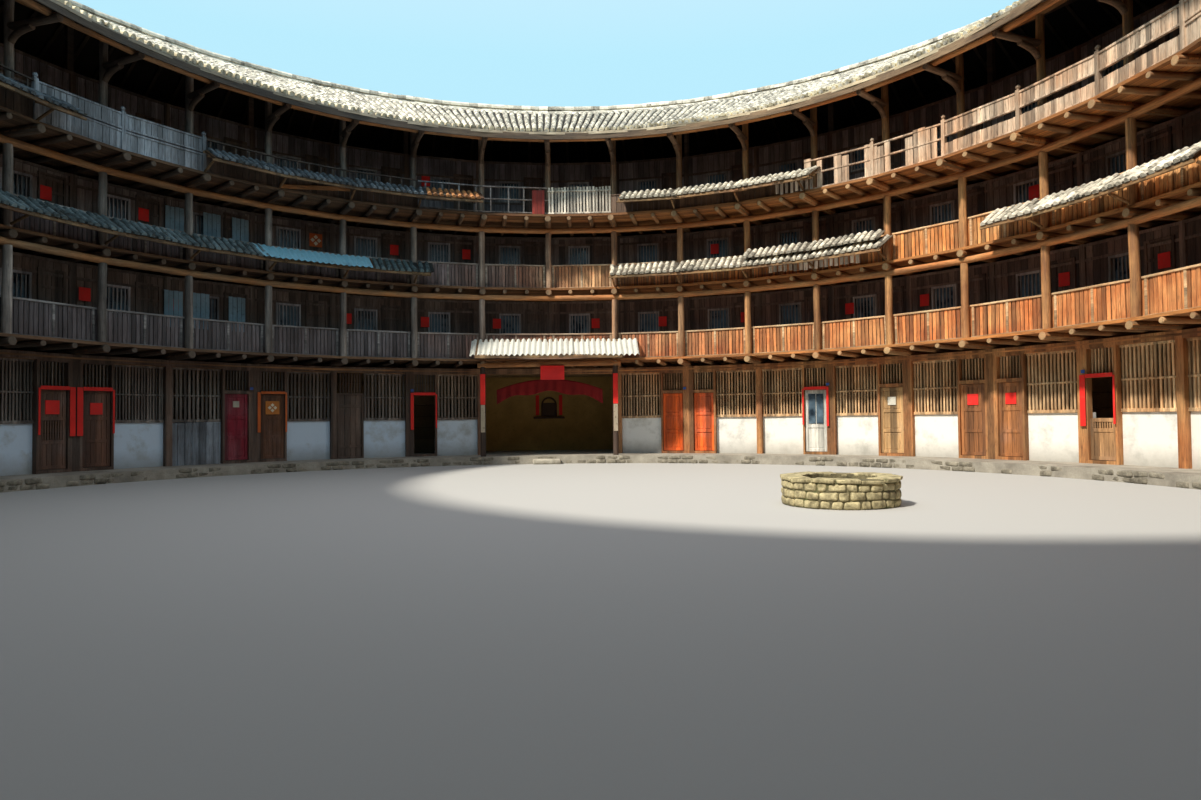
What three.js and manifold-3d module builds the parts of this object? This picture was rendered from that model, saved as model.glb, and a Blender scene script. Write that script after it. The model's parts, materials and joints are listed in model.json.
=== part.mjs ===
// A round earth-walled communal house of four storeys around an open courtyard.
// Millimetres, +Z up. The origin is the middle of the courtyard at ground level.
// A bearing is in degrees from +Y, where the hall stands, towards +X. The gate is at 180.

import * as THREE from "three";
import { mergeVertices } from "three/addons/utils/BufferGeometryUtils.js";
import Module from "manifold-3d";

const wasm = await Module();
wasm.setup();

// Driving dimensions of the plan

const BAY = 10;
const BAYS = 360 / BAY;
const ROUND = 72;
const GALLERY_R = 12600;
const TOP_GALLERY_R = 11800;
const GROUND_FRAME_R = 13780;
const ROOM_FRONT_R = 13900;
const ROOF_POST_R = 14060;
const WALL_INNER_R = 17200;
const WALL_OUTER_R = 18450;
const WALL_TOP_OUTER_R = 18250;
const PLINTH_R = 12300;
const EAVE_R = 10860;
const EAVE_PURLIN_R = 11350;
const RIDGE_R = 15300;
const OUTER_EAVE_R = 19750;

// Driving heights

const PLINTH_TOP = 260;
const FLOOR_TOPS = [3450, 5820, 8070];
const RAIL_HEIGHTS = [860, 800, 930];
const DECK = 70;
const JOIST = 180;
const BEAM = 170;
const BEAM_WIDTH = 180;
const EAVE_Z = 10440;
const RIDGE_Z = 12760;
const ROOF_THICKNESS = 160;
const BOARD_WALL_TOP = 10450;

// Timber sizes, and the gap between touching pieces

const POST = 150;
const GALLERY_POST = 220;
const GROUND_POST = 180;
const BOARD = 40;
const ROOM_BOARD = 80;
const GALLERY_EDGE = 100;
const JOIST_NOSE = 180;
const SEAM = 5;
const LAP = 20;
const GAP = 0.3;

// How far a cutting shape runs past what it cuts, and the sides of round bars

const PAST = 400;
const POST_SIDES = 12;
const PIN_SIDES = 8;
const WELL_SIDES = 24;

// The kitchens' dwarf walls, and a ground-floor door whose middle is DOOR_OFFSET from a post

const DWARF_WALL_R = 13862;
const DWARF_WALL = 120;
const DWARF_TOP = 1480;
const DOOR_OFFSET = 530;
const DOOR_WIDTH = 700;
const JAMB = 60;
const THRESHOLD = 80;
const DOOR_HEAD = 2300;
const LINTEL = 100;
const LEAF = 40;
const HALF_GATE_TOP = 1330;
const PIN_R = 10;
const LEAF_SIDE_GAP = 6;
const LEAF_END_GAP = 8;

const WOOD = { roughness: 0.8, metalness: 0 };
const LOOKS = {
  dark: { ...WOOD, color: 0x3a2c22 },
  brown: { ...WOOD, color: 0x6b4428 },
  tan: { ...WOOD, color: 0xa06a3c },
  grey: { ...WOOD, color: 0x7d7f86 },
  orange: { ...WOOD, color: 0xa4401c },
  red: { ...WOOD, color: 0x6e1420 },
  pale: { ...WOOD, color: 0xcfc7b4 },
  lime: { color: 0xd8d8d4, roughness: 0.8, metalness: 0 },
  earth: { color: 0xb39266, roughness: 0.95, metalness: 0 },
  stone: { color: 0x8f8a80, roughness: 0.9, metalness: 0 },
  tile: { color: 0x9a9184, roughness: 0.9, metalness: 0 },
  sheet: { color: 0xc4cfd4, roughness: 0.5, metalness: 0.4 },
};

const house = new THREE.Group();

const radians = THREE.MathUtils.degToRad;
const degrees = THREE.MathUtils.radToDeg;
const atMidBay = Math.cos(radians(BAY / 2));
const roofSlope = (RIDGE_Z - EAVE_Z) / (RIDGE_R - EAVE_R);
const roofTop = (r) => RIDGE_Z - roofSlope * Math.abs(RIDGE_R - r);
const roofUnderside = (r) => roofTop(r) - ROOF_THICKNESS;
const joistBottom = (floor) => FLOOR_TOPS[floor] - DECK - JOIST;
const beamBottom = (floor) => joistBottom(floor) - BEAM;
const postBearings = Array.from({ length: BAYS }, (_, i) => i * BAY);
const bayMiddles = postBearings.map((b) => b + BAY / 2);

// A closed three.js geometry as a solid that can be joined and cut, with its corners
// rounded to a hundredth so that faces meant to meet do meet.
function solid(geometry) {
  const bare = geometry.index ? geometry.toNonIndexed() : geometry.clone();
  bare.deleteAttribute("normal");
  bare.deleteAttribute("uv");
  const merged = mergeVertices(bare, 1e-3);
  const vertProperties = merged.attributes.position.array.map((v) => Math.round(v * 100) / 100);
  const triVerts = new Uint32Array(merged.index.array);
  return new wasm.Manifold(new wasm.Mesh({ numProp: 3, vertProperties, triVerts }));
}

const join = (pieces) => wasm.Manifold.union(pieces);

// Names a finished solid and hangs it in the house.
function add(name, made, look) {
  const { vertProperties, triVerts } = made.getMesh();
  const geometry = new THREE.BufferGeometry();
  geometry.setAttribute("position", new THREE.BufferAttribute(vertProperties, 3));
  geometry.setIndex(new THREE.BufferAttribute(triVerts, 1));
  const mesh = new THREE.Mesh(geometry, new THREE.MeshStandardMaterial(LOOKS[look]));
  mesh.name = name;
  house.add(mesh);
}

// A ring with a section of [radius, height] points.
function ring(section, facets) {
  const points = section.map(([r, z]) => new THREE.Vector2(r, z));
  if (THREE.ShapeUtils.isClockWise(points)) points.reverse();
  points.push(points[0].clone());
  return solid(new THREE.LatheGeometry(points, facets).rotateX(Math.PI / 2));
}

// A plain rectangular section.
const band = (r0, r1, z0, z1) => [
  [r0, z0],
  [r1, z0],
  [r1, z1],
  [r0, z1],
];

// The section of a beam laid round the house, a little wider than the posts under it.
const beamSection = (r, z0, z1) => band(r - BEAM_WIDTH / 2, r + BEAM_WIDTH / 2, z0, z1);

// The wedge of space between two bearings less than 180 degrees apart.
function sector(from, to) {
  const reach = 3 * OUTER_EAVE_R;
  const shape = new THREE.Shape();
  shape.moveTo(0, 0);
  [from, (from + to) / 2, to].forEach((b) =>
    shape.lineTo(reach * Math.sin(radians(b)), reach * Math.cos(radians(b))),
  );
  const wedge = new THREE.ExtrudeGeometry(shape, { depth: RIDGE_Z + 2 * PAST, bevelEnabled: false });
  return solid(wedge.translate(0, 0, -PAST));
}

const arc = (section, facets, from, to) => ring(section, facets).intersect(sector(from, to));

// A box turned to a bearing, by its spans along the ring, outwards and up.
function block(bearing, [u0, u1], [r0, r1], [z0, z1]) {
  const box = new THREE.BoxGeometry(u1 - u0, r1 - r0, z1 - z0);
  box.translate((u0 + u1) / 2, (r0 + r1) / 2, (z0 + z1) / 2);
  return solid(box.rotateZ(radians(-bearing)));
}

const middle = (width) => [-width / 2, width / 2];

// A log running outwards along a bearing, six-sided and flat above and below.
function radialLog(bearing, [r0, r1], [z0, z1]) {
  const radius = (z1 - z0) / Math.sqrt(3);
  const log = new THREE.CylinderGeometry(radius, radius, r1 - r0, 6);
  log.rotateY(Math.PI / 6).translate(0, (r0 + r1) / 2, (z0 + z1) / 2);
  return solid(log.rotateZ(radians(-bearing)));
}

// An upright round bar by its place on the ring.
function upright(bearing, u, r, radius, sides, [z0, z1]) {
  const bar = new THREE.CylinderGeometry(radius, radius, z1 - z0, sides).rotateX(Math.PI / 2);
  bar.translate(u, r, (z0 + z1) / 2);
  return solid(bar.rotateZ(radians(-bearing)));
}

// A plate standing on a bearing, with an outline of [radius, height] points.
function plate(bearing, outline, thickness) {
  const shape = new THREE.Shape(outline.map(([r, z]) => new THREE.Vector2(r, z)));
  const flat = new THREE.ExtrudeGeometry(shape, { depth: thickness, bevelEnabled: false });
  flat.translate(0, 0, -thickness / 2).rotateX(Math.PI / 2).rotateZ(Math.PI / 2);
  return solid(flat.rotateZ(radians(-bearing)));
}

const rectangle = ([u0, u1], [z0, z1]) => [
  new THREE.Vector2(u0, z0),
  new THREE.Vector2(u1, z0),
  new THREE.Vector2(u1, z1),
  new THREE.Vector2(u0, z1),
];

// A flat panel across a bearing, by its outline along the ring and up, with holes through it.
function panel(bearing, outline, holes, [r0, r1]) {
  const shape = new THREE.Shape(outline);
  shape.holes = holes.map((hole) => new THREE.Path(hole));
  const flat = new THREE.ExtrudeGeometry(shape, { depth: r1 - r0, bevelEnabled: false });
  flat.translate(0, 0, -r1).rotateX(Math.PI / 2);
  return solid(flat.rotateZ(radians(-bearing)));
}

// Stone plinth and rammed-earth wall

add("stone_plinth", ring(band(PLINTH_R, WALL_INNER_R - GAP, 0, PLINTH_TOP), BAYS), "stone");

const GATE_WIDTH = 1900;
const GATE_TOP = 2900;
const GATE_STONE = 350;
const GATE_STONE_DEPTH = 500;
const WALL_WINDOW_WIDTH = 460;
const WALL_WINDOW_HEIGHT = 620;
const WALL_WINDOW_SILL = 1000;
const SECOND_BAY = 2;

const wallTop = roofUnderside(WALL_TOP_OUTER_R) - GAP;
const wallSection = [
  [WALL_INNER_R, 0],
  [WALL_OUTER_R, 0],
  [WALL_TOP_OUTER_R, wallTop],
  [WALL_INNER_R, wallTop],
];
const throughWall = [WALL_INNER_R - PAST, WALL_OUTER_R + PAST];
const gateStoneSpan = [WALL_OUTER_R - GATE_STONE_DEPTH, WALL_OUTER_R];

// The window holes of one upper floor, in every bay or in every second one.
function wallWindows(floor, every) {
  const sill = FLOOR_TOPS[floor] + WALL_WINDOW_SILL;
  return bayMiddles
    .filter((_, i) => i % every === 0)
    .map((b) => block(b, middle(WALL_WINDOW_WIDTH), throughWall, [sill, sill + WALL_WINDOW_HEIGHT]));
}

const gateHole = block(180, middle(GATE_WIDTH), throughWall, [PLINTH_TOP, GATE_TOP]);
const gateSeat = block(
  180,
  middle(GATE_WIDTH + 2 * GATE_STONE),
  [gateStoneSpan[0], throughWall[1]],
  [-GAP, GATE_TOP + GATE_STONE],
);
const wallHoles = join([...wallWindows(1, SECOND_BAY), ...wallWindows(2, 1), gateHole, gateSeat]);
const wallRing = ring(wallSection, ROUND).subtract(wallHoles);
const quarterGap = degrees(GAP / WALL_INNER_R);

["north", "east", "south", "west"].forEach((side, i) => {
  const quarter = sector(i * 90 - 45 + quarterGap, i * 90 + 45 - quarterGap);
  add(`earth_wall_${side}`, wallRing.intersect(quarter), "earth");
});

const gateStone = block(
  180,
  middle(GATE_WIDTH + 2 * GATE_STONE - 2 * GAP),
  [gateStoneSpan[0] + GAP, gateStoneSpan[1]],
  [0, GATE_TOP + GATE_STONE - GAP],
);
add("gate_stone_frame", gateStone.subtract(gateHole), "stone");

// Ground floor: a timber frame with doorways, dwarf walls behind it, and doors that swing inwards

const halfBay = GROUND_FRAME_R * Math.sin(radians(BAY / 2));
const GATE_POSTS = [175, 185];
const FRAME_SPAN = [13650, 13805];
const GROUND_POST_SPAN = [13700, 13850];
const HEAD_RAIL = 40;
const DOORWAYS = [
  { name: "door_west_1", post: -60, side: -1, look: "dark" },
  { name: "door_west_2", post: -60, side: 1, look: "dark" },
  { name: "door_west_3", post: -40, side: -1, look: "red" },
  { name: "door_west_4", post: -40, side: 1, look: "brown" },
  { name: null, post: -20, side: 1 },
  { name: "door_east_1", post: 20, side: -1, look: "orange" },
  { name: "door_east_2", post: 20, side: 1, look: "orange" },
  { name: "door_east_3", post: 40, side: -1, look: "pale" },
  { name: "door_east_4", post: 50, side: -1, look: "tan" },
  { name: "door_east_5", post: 60, side: -1, look: "brown" },
  { name: "door_east_6", post: 60, side: 1, look: "brown" },
  { name: "half_gate_east", post: 70, side: 1, look: "tan", top: HALF_GATE_TOP },
];
const nearEdge = DOOR_OFFSET - DOOR_WIDTH / 2;
const farEdge = DOOR_OFFSET + DOOR_WIDTH / 2;

// A distance from a post along its bay, as a place measured from the middle of that bay.
const fromPost = (side, distance) => side * (distance - halfBay);
const bayOf = ({ post, side }) => post + (side * BAY) / 2;
const span = (side, from, to) => [fromPost(side, from), fromPost(side, to)].sort((a, b) => a - b);

// Two jambs, a threshold, a lintel and a head rail in one panel, with the doorway and a light over it.
function doorFrame(door) {
  const width = span(door.side, nearEdge, farEdge);
  const outer = span(door.side, JAMB, farEdge + JAMB);
  const head = beamBottom(0);
  const doorway = rectangle(width, [PLINTH_TOP + THRESHOLD, DOOR_HEAD]);
  const light = rectangle(width, [DOOR_HEAD + LINTEL, head - HEAD_RAIL]);
  return panel(bayOf(door), rectangle(outer, [PLINTH_TOP, head + LAP]), [doorway, light], FRAME_SPAN);
}

const groundPosts = postBearings
  .filter((b) => b % 180 !== 0)
  .map((b) => block(b, middle(GROUND_POST), GROUND_POST_SPAN, [PLINTH_TOP, beamBottom(0) + LAP]));
const gatePosts = GATE_POSTS.map((b) =>
  block(b, middle(GROUND_POST), FRAME_SPAN, [PLINTH_TOP, beamBottom(0) + LAP]),
);
const headBeam = ring(beamSection(GROUND_FRAME_R - SEAM, beamBottom(0), joistBottom(0)), BAYS);
add(
  "ground_frame",
  join([headBeam, ...groundPosts, ...gatePosts, ...DOORWAYS.map(doorFrame)]),
  "brown",
);

const HINGE_R = 13720;
const hingePlace = nearEdge + LEAF_SIDE_GAP + LEAF / 2;

// A leaf with a round heel that turns on wooden pins in the threshold and the lintel.
function doorLeaf(door) {
  const bay = bayOf(door);
  const sill = PLINTH_TOP + THRESHOLD;
  const heights = [sill + LEAF_END_GAP, door.top ?? DOOR_HEAD - LEAF_END_GAP];
  const pinTop = door.top ?? DOOR_HEAD - GAP;
  const hinge = fromPost(door.side, hingePlace);
  const width = span(door.side, hingePlace, farEdge - LEAF_SIDE_GAP);
  const depth = [HINGE_R - LEAF / 2, HINGE_R + LEAF / 2];
  return join([
    block(bay, width, depth, heights),
    upright(bay, hinge, HINGE_R, LEAF / 2, POST_SIDES, heights),
    upright(bay, hinge, HINGE_R, PIN_R, PIN_SIDES, [sill + GAP, pinTop]),
  ]);
}

DOORWAYS.filter((door) => door.name).forEach((door) => add(door.name, doorLeaf(door), door.look));

// The bearing at which a dwarf wall ends behind a jamb.
const WALL_LAP = 10;
const dwarfMiddle = (DWARF_WALL_R + DWARF_WALL / 2) * atMidBay;
const endAt = (post, side, distance) =>
  post + (side * BAY) / 2 + degrees(Math.atan2(fromPost(side, distance), dwarfMiddle));
const beyondDoor = (post, side) => endAt(post, side, farEdge + WALL_LAP);
const beforeDoor = (post, side) => endAt(post, side, nearEdge - WALL_LAP);
const HALL_END = 10.25;
const GATE_END = 174.8;
const DWARF_WALLS = [
  [-GATE_END, beyondDoor(-60, -1)],
  [beyondDoor(-60, 1), beyondDoor(-40, -1)],
  [beyondDoor(-40, 1), beforeDoor(-20, 1)],
  [beyondDoor(-20, 1), -HALL_END],
  [HALL_END, beyondDoor(20, -1)],
  [beyondDoor(20, 1), beyondDoor(40, -1)],
  [beforeDoor(40, -1), beyondDoor(50, -1)],
  [beforeDoor(50, -1), beyondDoor(60, -1)],
  [beyondDoor(60, 1), beforeDoor(70, 1)],
  [beyondDoor(70, 1), GATE_END],
];

// Kitchen doors that stay shut: one seen at the left, and pairs at every second post out of sight
const SHUT_DOORS = [
  { post: -30, side: 1 },
  ...[80, 100, 120, 140, 160].flatMap((b) => [
    { post: -b, side: -1 },
    { post: -b, side: 1 },
  ]),
  ...[90, 110, 130, 150].flatMap((b) => [
    { post: b, side: -1 },
    { post: b, side: 1 },
  ]),
];

function shutDoor(door) {
  const depth = [dwarfMiddle - DWARF_WALL / 2 + SEAM, dwarfMiddle + DWARF_WALL / 2 - SEAM];
  return block(bayOf(door), span(door.side, nearEdge, farEdge), depth, [PLINTH_TOP, DOOR_HEAD]);
}

DWARF_WALLS.forEach(([from, to], i) => {
  const section = band(DWARF_WALL_R, DWARF_WALL_R + DWARF_WALL, PLINTH_TOP, DWARF_TOP);
  const doors = SHUT_DOORS.filter((door) => bayOf(door) > from && bayOf(door) < to);
  add(`kitchen_wall_${i + 1}`, join([arc(section, BAYS, from, to), ...doors.map(shutDoor)]), "lime");
});

// Upper floors: log joists that carry a deck and reach in under the gallery

const JOIST_END = 10;
const galleryR = (floor) => (floor === 2 ? TOP_GALLERY_R : GALLERY_R);

function floorOf(floor) {
  const deckBottom = FLOOR_TOPS[floor] - DECK;
  const inner = galleryR(floor) - GALLERY_EDGE;
  const edge = ring(band(inner, WALL_INNER_R + PAST, deckBottom, FLOOR_TOPS[floor]), BAYS);
  const round = ring(band(inner - PAST, WALL_INNER_R - GAP, deckBottom, FLOOR_TOPS[floor]), ROUND);
  const lengths = [galleryR(floor) - JOIST_NOSE, WALL_INNER_R - JOIST_END];
  const joists = postBearings.map((b) => radialLog(b, lengths, [joistBottom(floor), deckBottom]));
  return join([edge.intersect(round), ...joists]);
}

[0, 1, 2].forEach((floor) => add(`floor_${floor + 2}`, floorOf(floor), "brown"));

// Galleries: posts at the bay lines under a log beam that carries the next floor's joists

const postDepth = [GALLERY_R - GALLERY_POST / 2, GALLERY_R + GALLERY_POST / 2];
const galleryPost = (b, z0, z1) => block(b, middle(GALLERY_POST), postDepth, [z0, z1]);

function gallery(floor, bearings) {
  const bottom = beamBottom(floor + 1);
  const beam = ring(beamSection(GALLERY_R, bottom, joistBottom(floor + 1)), BAYS);
  const posts = bearings.map((b) => galleryPost(b, FLOOR_TOPS[floor], bottom));
  return join([beam, ...posts]);
}

add("gallery_frame_2", gallery(0, postBearings.filter((b) => b !== 0)), "tan");
add("gallery_frame_3", gallery(1, postBearings), "tan");

// A purlin just under the roof, touching it where the roof comes lowest.
function purlin(r) {
  const inner = (r - BEAM_WIDTH / 2) * atMidBay;
  const top = roofUnderside(inner) - GAP;
  return { bottom: top - BEAM, made: ring(beamSection(r, top - BEAM, top), BAYS) };
}

const galleryPurlin = purlin(GALLERY_R);
const eavePurlin = purlin(EAVE_PURLIN_R);
const BRACKET = 90;
const BRACKET_DEPTH = 130;
const BRACKET_DROP = 650;

// A bracket that leans out from a post to the purlin under the eave.
function bracket(b) {
  const tip = [EAVE_PURLIN_R, eavePurlin.bottom];
  const foot = [postDepth[0], eavePurlin.bottom - BRACKET_DROP];
  const outline = [
    foot,
    [foot[0] + SEAM, foot[1]],
    [foot[0] + SEAM, foot[1] + 2 * BRACKET_DEPTH],
    [tip[0] + BRACKET_DEPTH, tip[1] + SEAM],
    [tip[0] - SEAM, tip[1] + SEAM],
  ];
  return plate(b, outline, BRACKET);
}

add(
  "gallery_frame_4",
  join([
    galleryPurlin.made,
    eavePurlin.made,
    ...postBearings.map((b) => galleryPost(b, FLOOR_TOPS[2], galleryPurlin.bottom)),
    ...postBearings.map(bracket),
  ]),
  "tan",
);

// Parapets: boards behind the posts on two floors, and boards between round-headed newels at the top

const BEHIND_POSTS = 10;
const OPEN_BAY = -5;
const OPEN_BAY_WIDTH = 1860;
const OPEN_BAY_RAILS = 80;

function parapet(floor) {
  const inner = floor === 2 ? TOP_GALLERY_R : postDepth[1] + BEHIND_POSTS;
  const top = FLOOR_TOPS[floor] + RAIL_HEIGHTS[floor];
  return ring(band(inner, inner + BOARD, FLOOR_TOPS[floor], top), BAYS);
}

const railGap = block(
  OPEN_BAY,
  middle(OPEN_BAY_WIDTH),
  [TOP_GALLERY_R - PAST, TOP_GALLERY_R + PAST],
  [FLOOR_TOPS[2] + OPEN_BAY_RAILS, FLOOR_TOPS[2] + RAIL_HEIGHTS[2] - OPEN_BAY_RAILS],
);

add("parapet_2", parapet(0), "orange");
add("parapet_3", parapet(1), "tan");
add("parapet_4", parapet(2).subtract(railGap), "grey");

// Room fronts: a ring of board wall on each floor, with a window in each bay

const ROOM_WINDOW = 620;
const ROOM_WINDOW_SILL = 1000;
const ROOM_WINDOW_PLACE = -150;
const roomFrontTops = [joistBottom(1), joistBottom(2), BOARD_WALL_TOP];
const roomFrontGap = degrees(GAP / ROOM_FRONT_R);
const frontOverHall = sector(-BAY, BAY);
const withinFrontOverHall = sector(-BAY + roomFrontGap, BAY - roomFrontGap);

function roomFront(floor) {
  const wall = ring(
    band(ROOM_FRONT_R, ROOM_FRONT_R + ROOM_BOARD, FLOOR_TOPS[floor], roomFrontTops[floor]),
    BAYS,
  );
  const sill = FLOOR_TOPS[floor] + ROOM_WINDOW_SILL;
  const windows = bayMiddles.map((b) =>
    block(
      b,
      [ROOM_WINDOW_PLACE - ROOM_WINDOW / 2, ROOM_WINDOW_PLACE + ROOM_WINDOW / 2],
      [ROOM_FRONT_R - PAST, ROOM_FRONT_R + PAST],
      [sill, sill + ROOM_WINDOW],
    ),
  );
  return wall.subtract(join(windows));
}

add("room_front_2", roomFront(0), "dark");
[1, 2].forEach((floor) => {
  const front = roomFront(floor);
  add(`room_front_${floor + 2}`, front.subtract(frontOverHall), "dark");
  add(`room_front_${floor + 2}_hall`, front.intersect(withinFrontOverHall), "dark");
});

// Roof: two slopes meeting at a round ridge, on posts and purlins inside and on the earth wall outside

const RIDGE_CAP = 200;
const RIDGE_CAP_TOP = RIDGE_Z + 140;
const FASCIA = 40;
const FASCIA_DEPTH = 190;
const FASCIA_SET = 50;

const roofPurlin = purlin(ROOF_POST_R);
const roofPosts = postBearings
  .filter((_, i) => i % SECOND_BAY === 0)
  .map((b) =>
    block(
      b,
      middle(POST),
      [ROOF_POST_R - POST / 2, ROOF_POST_R + POST / 2],
      [FLOOR_TOPS[2], roofPurlin.bottom],
    ),
  );
add("roof_frame", join([roofPurlin.made, ...roofPosts]), "dark");

const slopeSection = (low, high) => [
  [low, roofUnderside(low)],
  [high, roofUnderside(high)],
  [high, roofTop(high)],
  [low, roofTop(low)],
];
add("roof_inner_slope", ring(slopeSection(EAVE_R, RIDGE_R - GAP), ROUND), "tile");
add("roof_outer_slope", ring(slopeSection(OUTER_EAVE_R, RIDGE_R + GAP), ROUND), "tile");

const ridgeSection = [
  [RIDGE_R - RIDGE_CAP, roofTop(RIDGE_R - RIDGE_CAP) + GAP],
  [RIDGE_R, RIDGE_Z + GAP],
  [RIDGE_R + RIDGE_CAP, roofTop(RIDGE_R + RIDGE_CAP) + GAP],
  [RIDGE_R, RIDGE_CAP_TOP],
];
add("roof_ridge", ring(ridgeSection, ROUND), "tile");

const fasciaTop = EAVE_Z - FASCIA_SET;
const fasciaInner = EAVE_R - GAP - FASCIA;
add(
  "eave_fascia",
  ring(band(fasciaInner, EAVE_R - GAP, fasciaTop - FASCIA_DEPTH, fasciaTop), ROUND),
  "pale",
);

// Hall: two free posts, side walls back to the earth wall, and a sheet canopy over its mouth

const HALL_BEARING = 10;
const HALL_POST_R = 12500;
const HALL_POST = 90;
const HALL_WALL = 100;
const HALL_WALL_END = 10;

[-1, 1].forEach((side) => {
  const name = side < 0 ? "west" : "east";
  const bearing = side * HALL_BEARING;
  const heights = [PLINTH_TOP, joistBottom(0)];
  const wallSpan = [GROUND_FRAME_R + BEAM_WIDTH / 2, WALL_INNER_R - HALL_WALL_END];
  add(`hall_post_${name}`, upright(bearing, 0, HALL_POST_R, HALL_POST, POST_SIDES, heights), "dark");
  add(`hall_side_wall_${name}`, block(bearing, middle(HALL_WALL), wallSpan, heights), "dark");
});

const CANOPY = {
  west: -2520,
  east: 2900,
  back: 12275,
  front: 11450,
  top: 4100,
  drop: 610,
  thickness: 30,
};
const LEDGER_BACK = 12280.8;
const LEDGER = 80;
const LEDGER_HALF = 2350;
const RAFTER = 70;
const RAIL_SET = 30;
const RAFTER_SET = 40;
const canopySlope = CANOPY.drop / (CANOPY.back - CANOPY.front);
const canopyUnderside = (y) => CANOPY.top - CANOPY.thickness - canopySlope * (CANOPY.back - y);

// A bar across the hall's mouth, or a sloped plate, by an outline of [y, z] points.
function across(outline, from, to) {
  const offset = (from + to) / 2;
  const made = plate(0, outline, to - from);
  return made.translate([offset, 0, 0]);
}

const underSheet = (from, to, depth) => [
  [from, canopyUnderside(from) - GAP - depth],
  [to, canopyUnderside(to) - GAP - depth],
  [to, canopyUnderside(to) - GAP],
  [from, canopyUnderside(from) - GAP],
];
const canopyRafters = [-LEDGER_HALF, -RAFTER / 2, LEDGER_HALF - RAFTER].map((x) =>
  across(underSheet(CANOPY.front + RAFTER_SET, LEDGER_BACK - LEDGER / 2, RAFTER), x, x + RAFTER),
);
const railSpan = [CANOPY.front + RAIL_SET, CANOPY.front + RAIL_SET + RAFTER];
add(
  "hall_canopy_frame",
  join([
    across(underSheet(LEDGER_BACK - LEDGER, LEDGER_BACK, LEDGER), -LEDGER_HALF, LEDGER_HALF),
    across(underSheet(...railSpan, RAFTER), -LEDGER_HALF, LEDGER_HALF),
    ...canopyRafters,
  ]),
  "brown",
);
const sheetOutline = [
  [CANOPY.front, canopyUnderside(CANOPY.front)],
  [CANOPY.back, canopyUnderside(CANOPY.back)],
  [CANOPY.back, canopyUnderside(CANOPY.back) + CANOPY.thickness],
  [CANOPY.front, canopyUnderside(CANOPY.front) + CANOPY.thickness],
];
add("hall_canopy_sheet", across(sheetOutline, CANOPY.west, CANOPY.east), "sheet");

// Small tiled roofs hung outside the parapets

const PENT_THICKNESS = 60;
const PENT_ROOFS = [
  { name: "pent_roof_3_west", floor: 1, from: -80, to: -18 },
  { name: "pent_roof_3_east", floor: 1, from: 9.5, to: 50.5 },
  { name: "pent_roof_3_far_east", floor: 1, from: 64.5, to: 90 },
  { name: "pent_roof_4_far_west", floor: 2, from: -90, to: -67 },
  { name: "pent_roof_4_west", floor: 2, from: -50, to: -10.6 },
  { name: "pent_roof_4_east", floor: 2, from: 11.5, to: 42 },
];
const PENT_SECTIONS = {
  1: { back: postDepth[0] - GAP, front: 11900, backZ: 6500, frontZ: 6100 },
  2: { back: TOP_GALLERY_R - GAP, front: 11200, backZ: 8700, frontZ: 8350 },
};

PENT_ROOFS.forEach(({ name, floor, from, to }) => {
  const { back, front, backZ, frontZ } = PENT_SECTIONS[floor];
  const section = [
    [front, frontZ - PENT_THICKNESS],
    [back, backZ - PENT_THICKNESS],
    [back, backZ],
    [front, frontZ],
  ];
  add(name, arc(section, BAYS, from, to), "tile");
});

// The courtyard well

const WELL = { x: 4900, y: -900, outer: 925, inner: 600, height: 450 };
const wellRing = ring(band(WELL.inner, WELL.outer, 0, WELL.height), WELL_SIDES);
add("well_curb", wellRing.translate([WELL.x, WELL.y, 0]), "stone");

export default house;
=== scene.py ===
"""A round earth-walled communal house round an open courtyard: its finish, its small parts and its stage.

Metres, +Z up, the origin in the middle of the courtyard at ground level. A bearing is in degrees from +Y,
where the hall stands, towards +X. What repeats round the ring is modelled once facing +Y, with x along the
ring and y outwards.
"""

import json
import math
import random

import bpy
import numpy as np
from bpy.props import FloatProperty, FloatVectorProperty, IntProperty, PointerProperty
from mathutils import Matrix, Vector

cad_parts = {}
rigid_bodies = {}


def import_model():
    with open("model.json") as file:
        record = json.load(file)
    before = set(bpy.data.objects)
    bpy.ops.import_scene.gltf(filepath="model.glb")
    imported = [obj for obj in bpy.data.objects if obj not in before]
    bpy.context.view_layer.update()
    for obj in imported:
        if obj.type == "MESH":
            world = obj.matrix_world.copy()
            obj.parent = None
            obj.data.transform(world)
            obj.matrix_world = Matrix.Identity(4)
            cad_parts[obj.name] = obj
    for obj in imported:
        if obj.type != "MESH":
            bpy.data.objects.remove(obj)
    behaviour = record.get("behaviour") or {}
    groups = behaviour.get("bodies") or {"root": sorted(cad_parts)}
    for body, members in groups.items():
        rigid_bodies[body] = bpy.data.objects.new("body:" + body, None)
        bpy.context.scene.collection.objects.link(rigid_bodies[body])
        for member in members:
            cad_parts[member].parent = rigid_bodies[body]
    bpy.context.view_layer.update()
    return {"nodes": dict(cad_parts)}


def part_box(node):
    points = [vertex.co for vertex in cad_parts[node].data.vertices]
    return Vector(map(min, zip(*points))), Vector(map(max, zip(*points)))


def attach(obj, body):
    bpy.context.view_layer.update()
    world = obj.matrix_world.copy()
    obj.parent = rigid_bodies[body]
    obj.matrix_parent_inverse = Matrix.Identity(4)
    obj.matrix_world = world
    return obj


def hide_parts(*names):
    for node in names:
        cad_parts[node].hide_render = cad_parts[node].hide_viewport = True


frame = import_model()

bl_info = {
    "name": "Round Earth House",
    "version": (1, 0, 0),
    "blender": (4, 5, 0),
    "location": "View3D > Sidebar > Round House",
    "description": "Builds the finish and the small parts of a round communal house on its frame",
    "category": "Object",
}

# Places read from the frame


def reach(node):
    """How far a ring reaches from the middle of the courtyard."""
    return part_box(node)[1].y


def foot(node):
    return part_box(node)[0].z


def head(node):
    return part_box(node)[1].z


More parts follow.
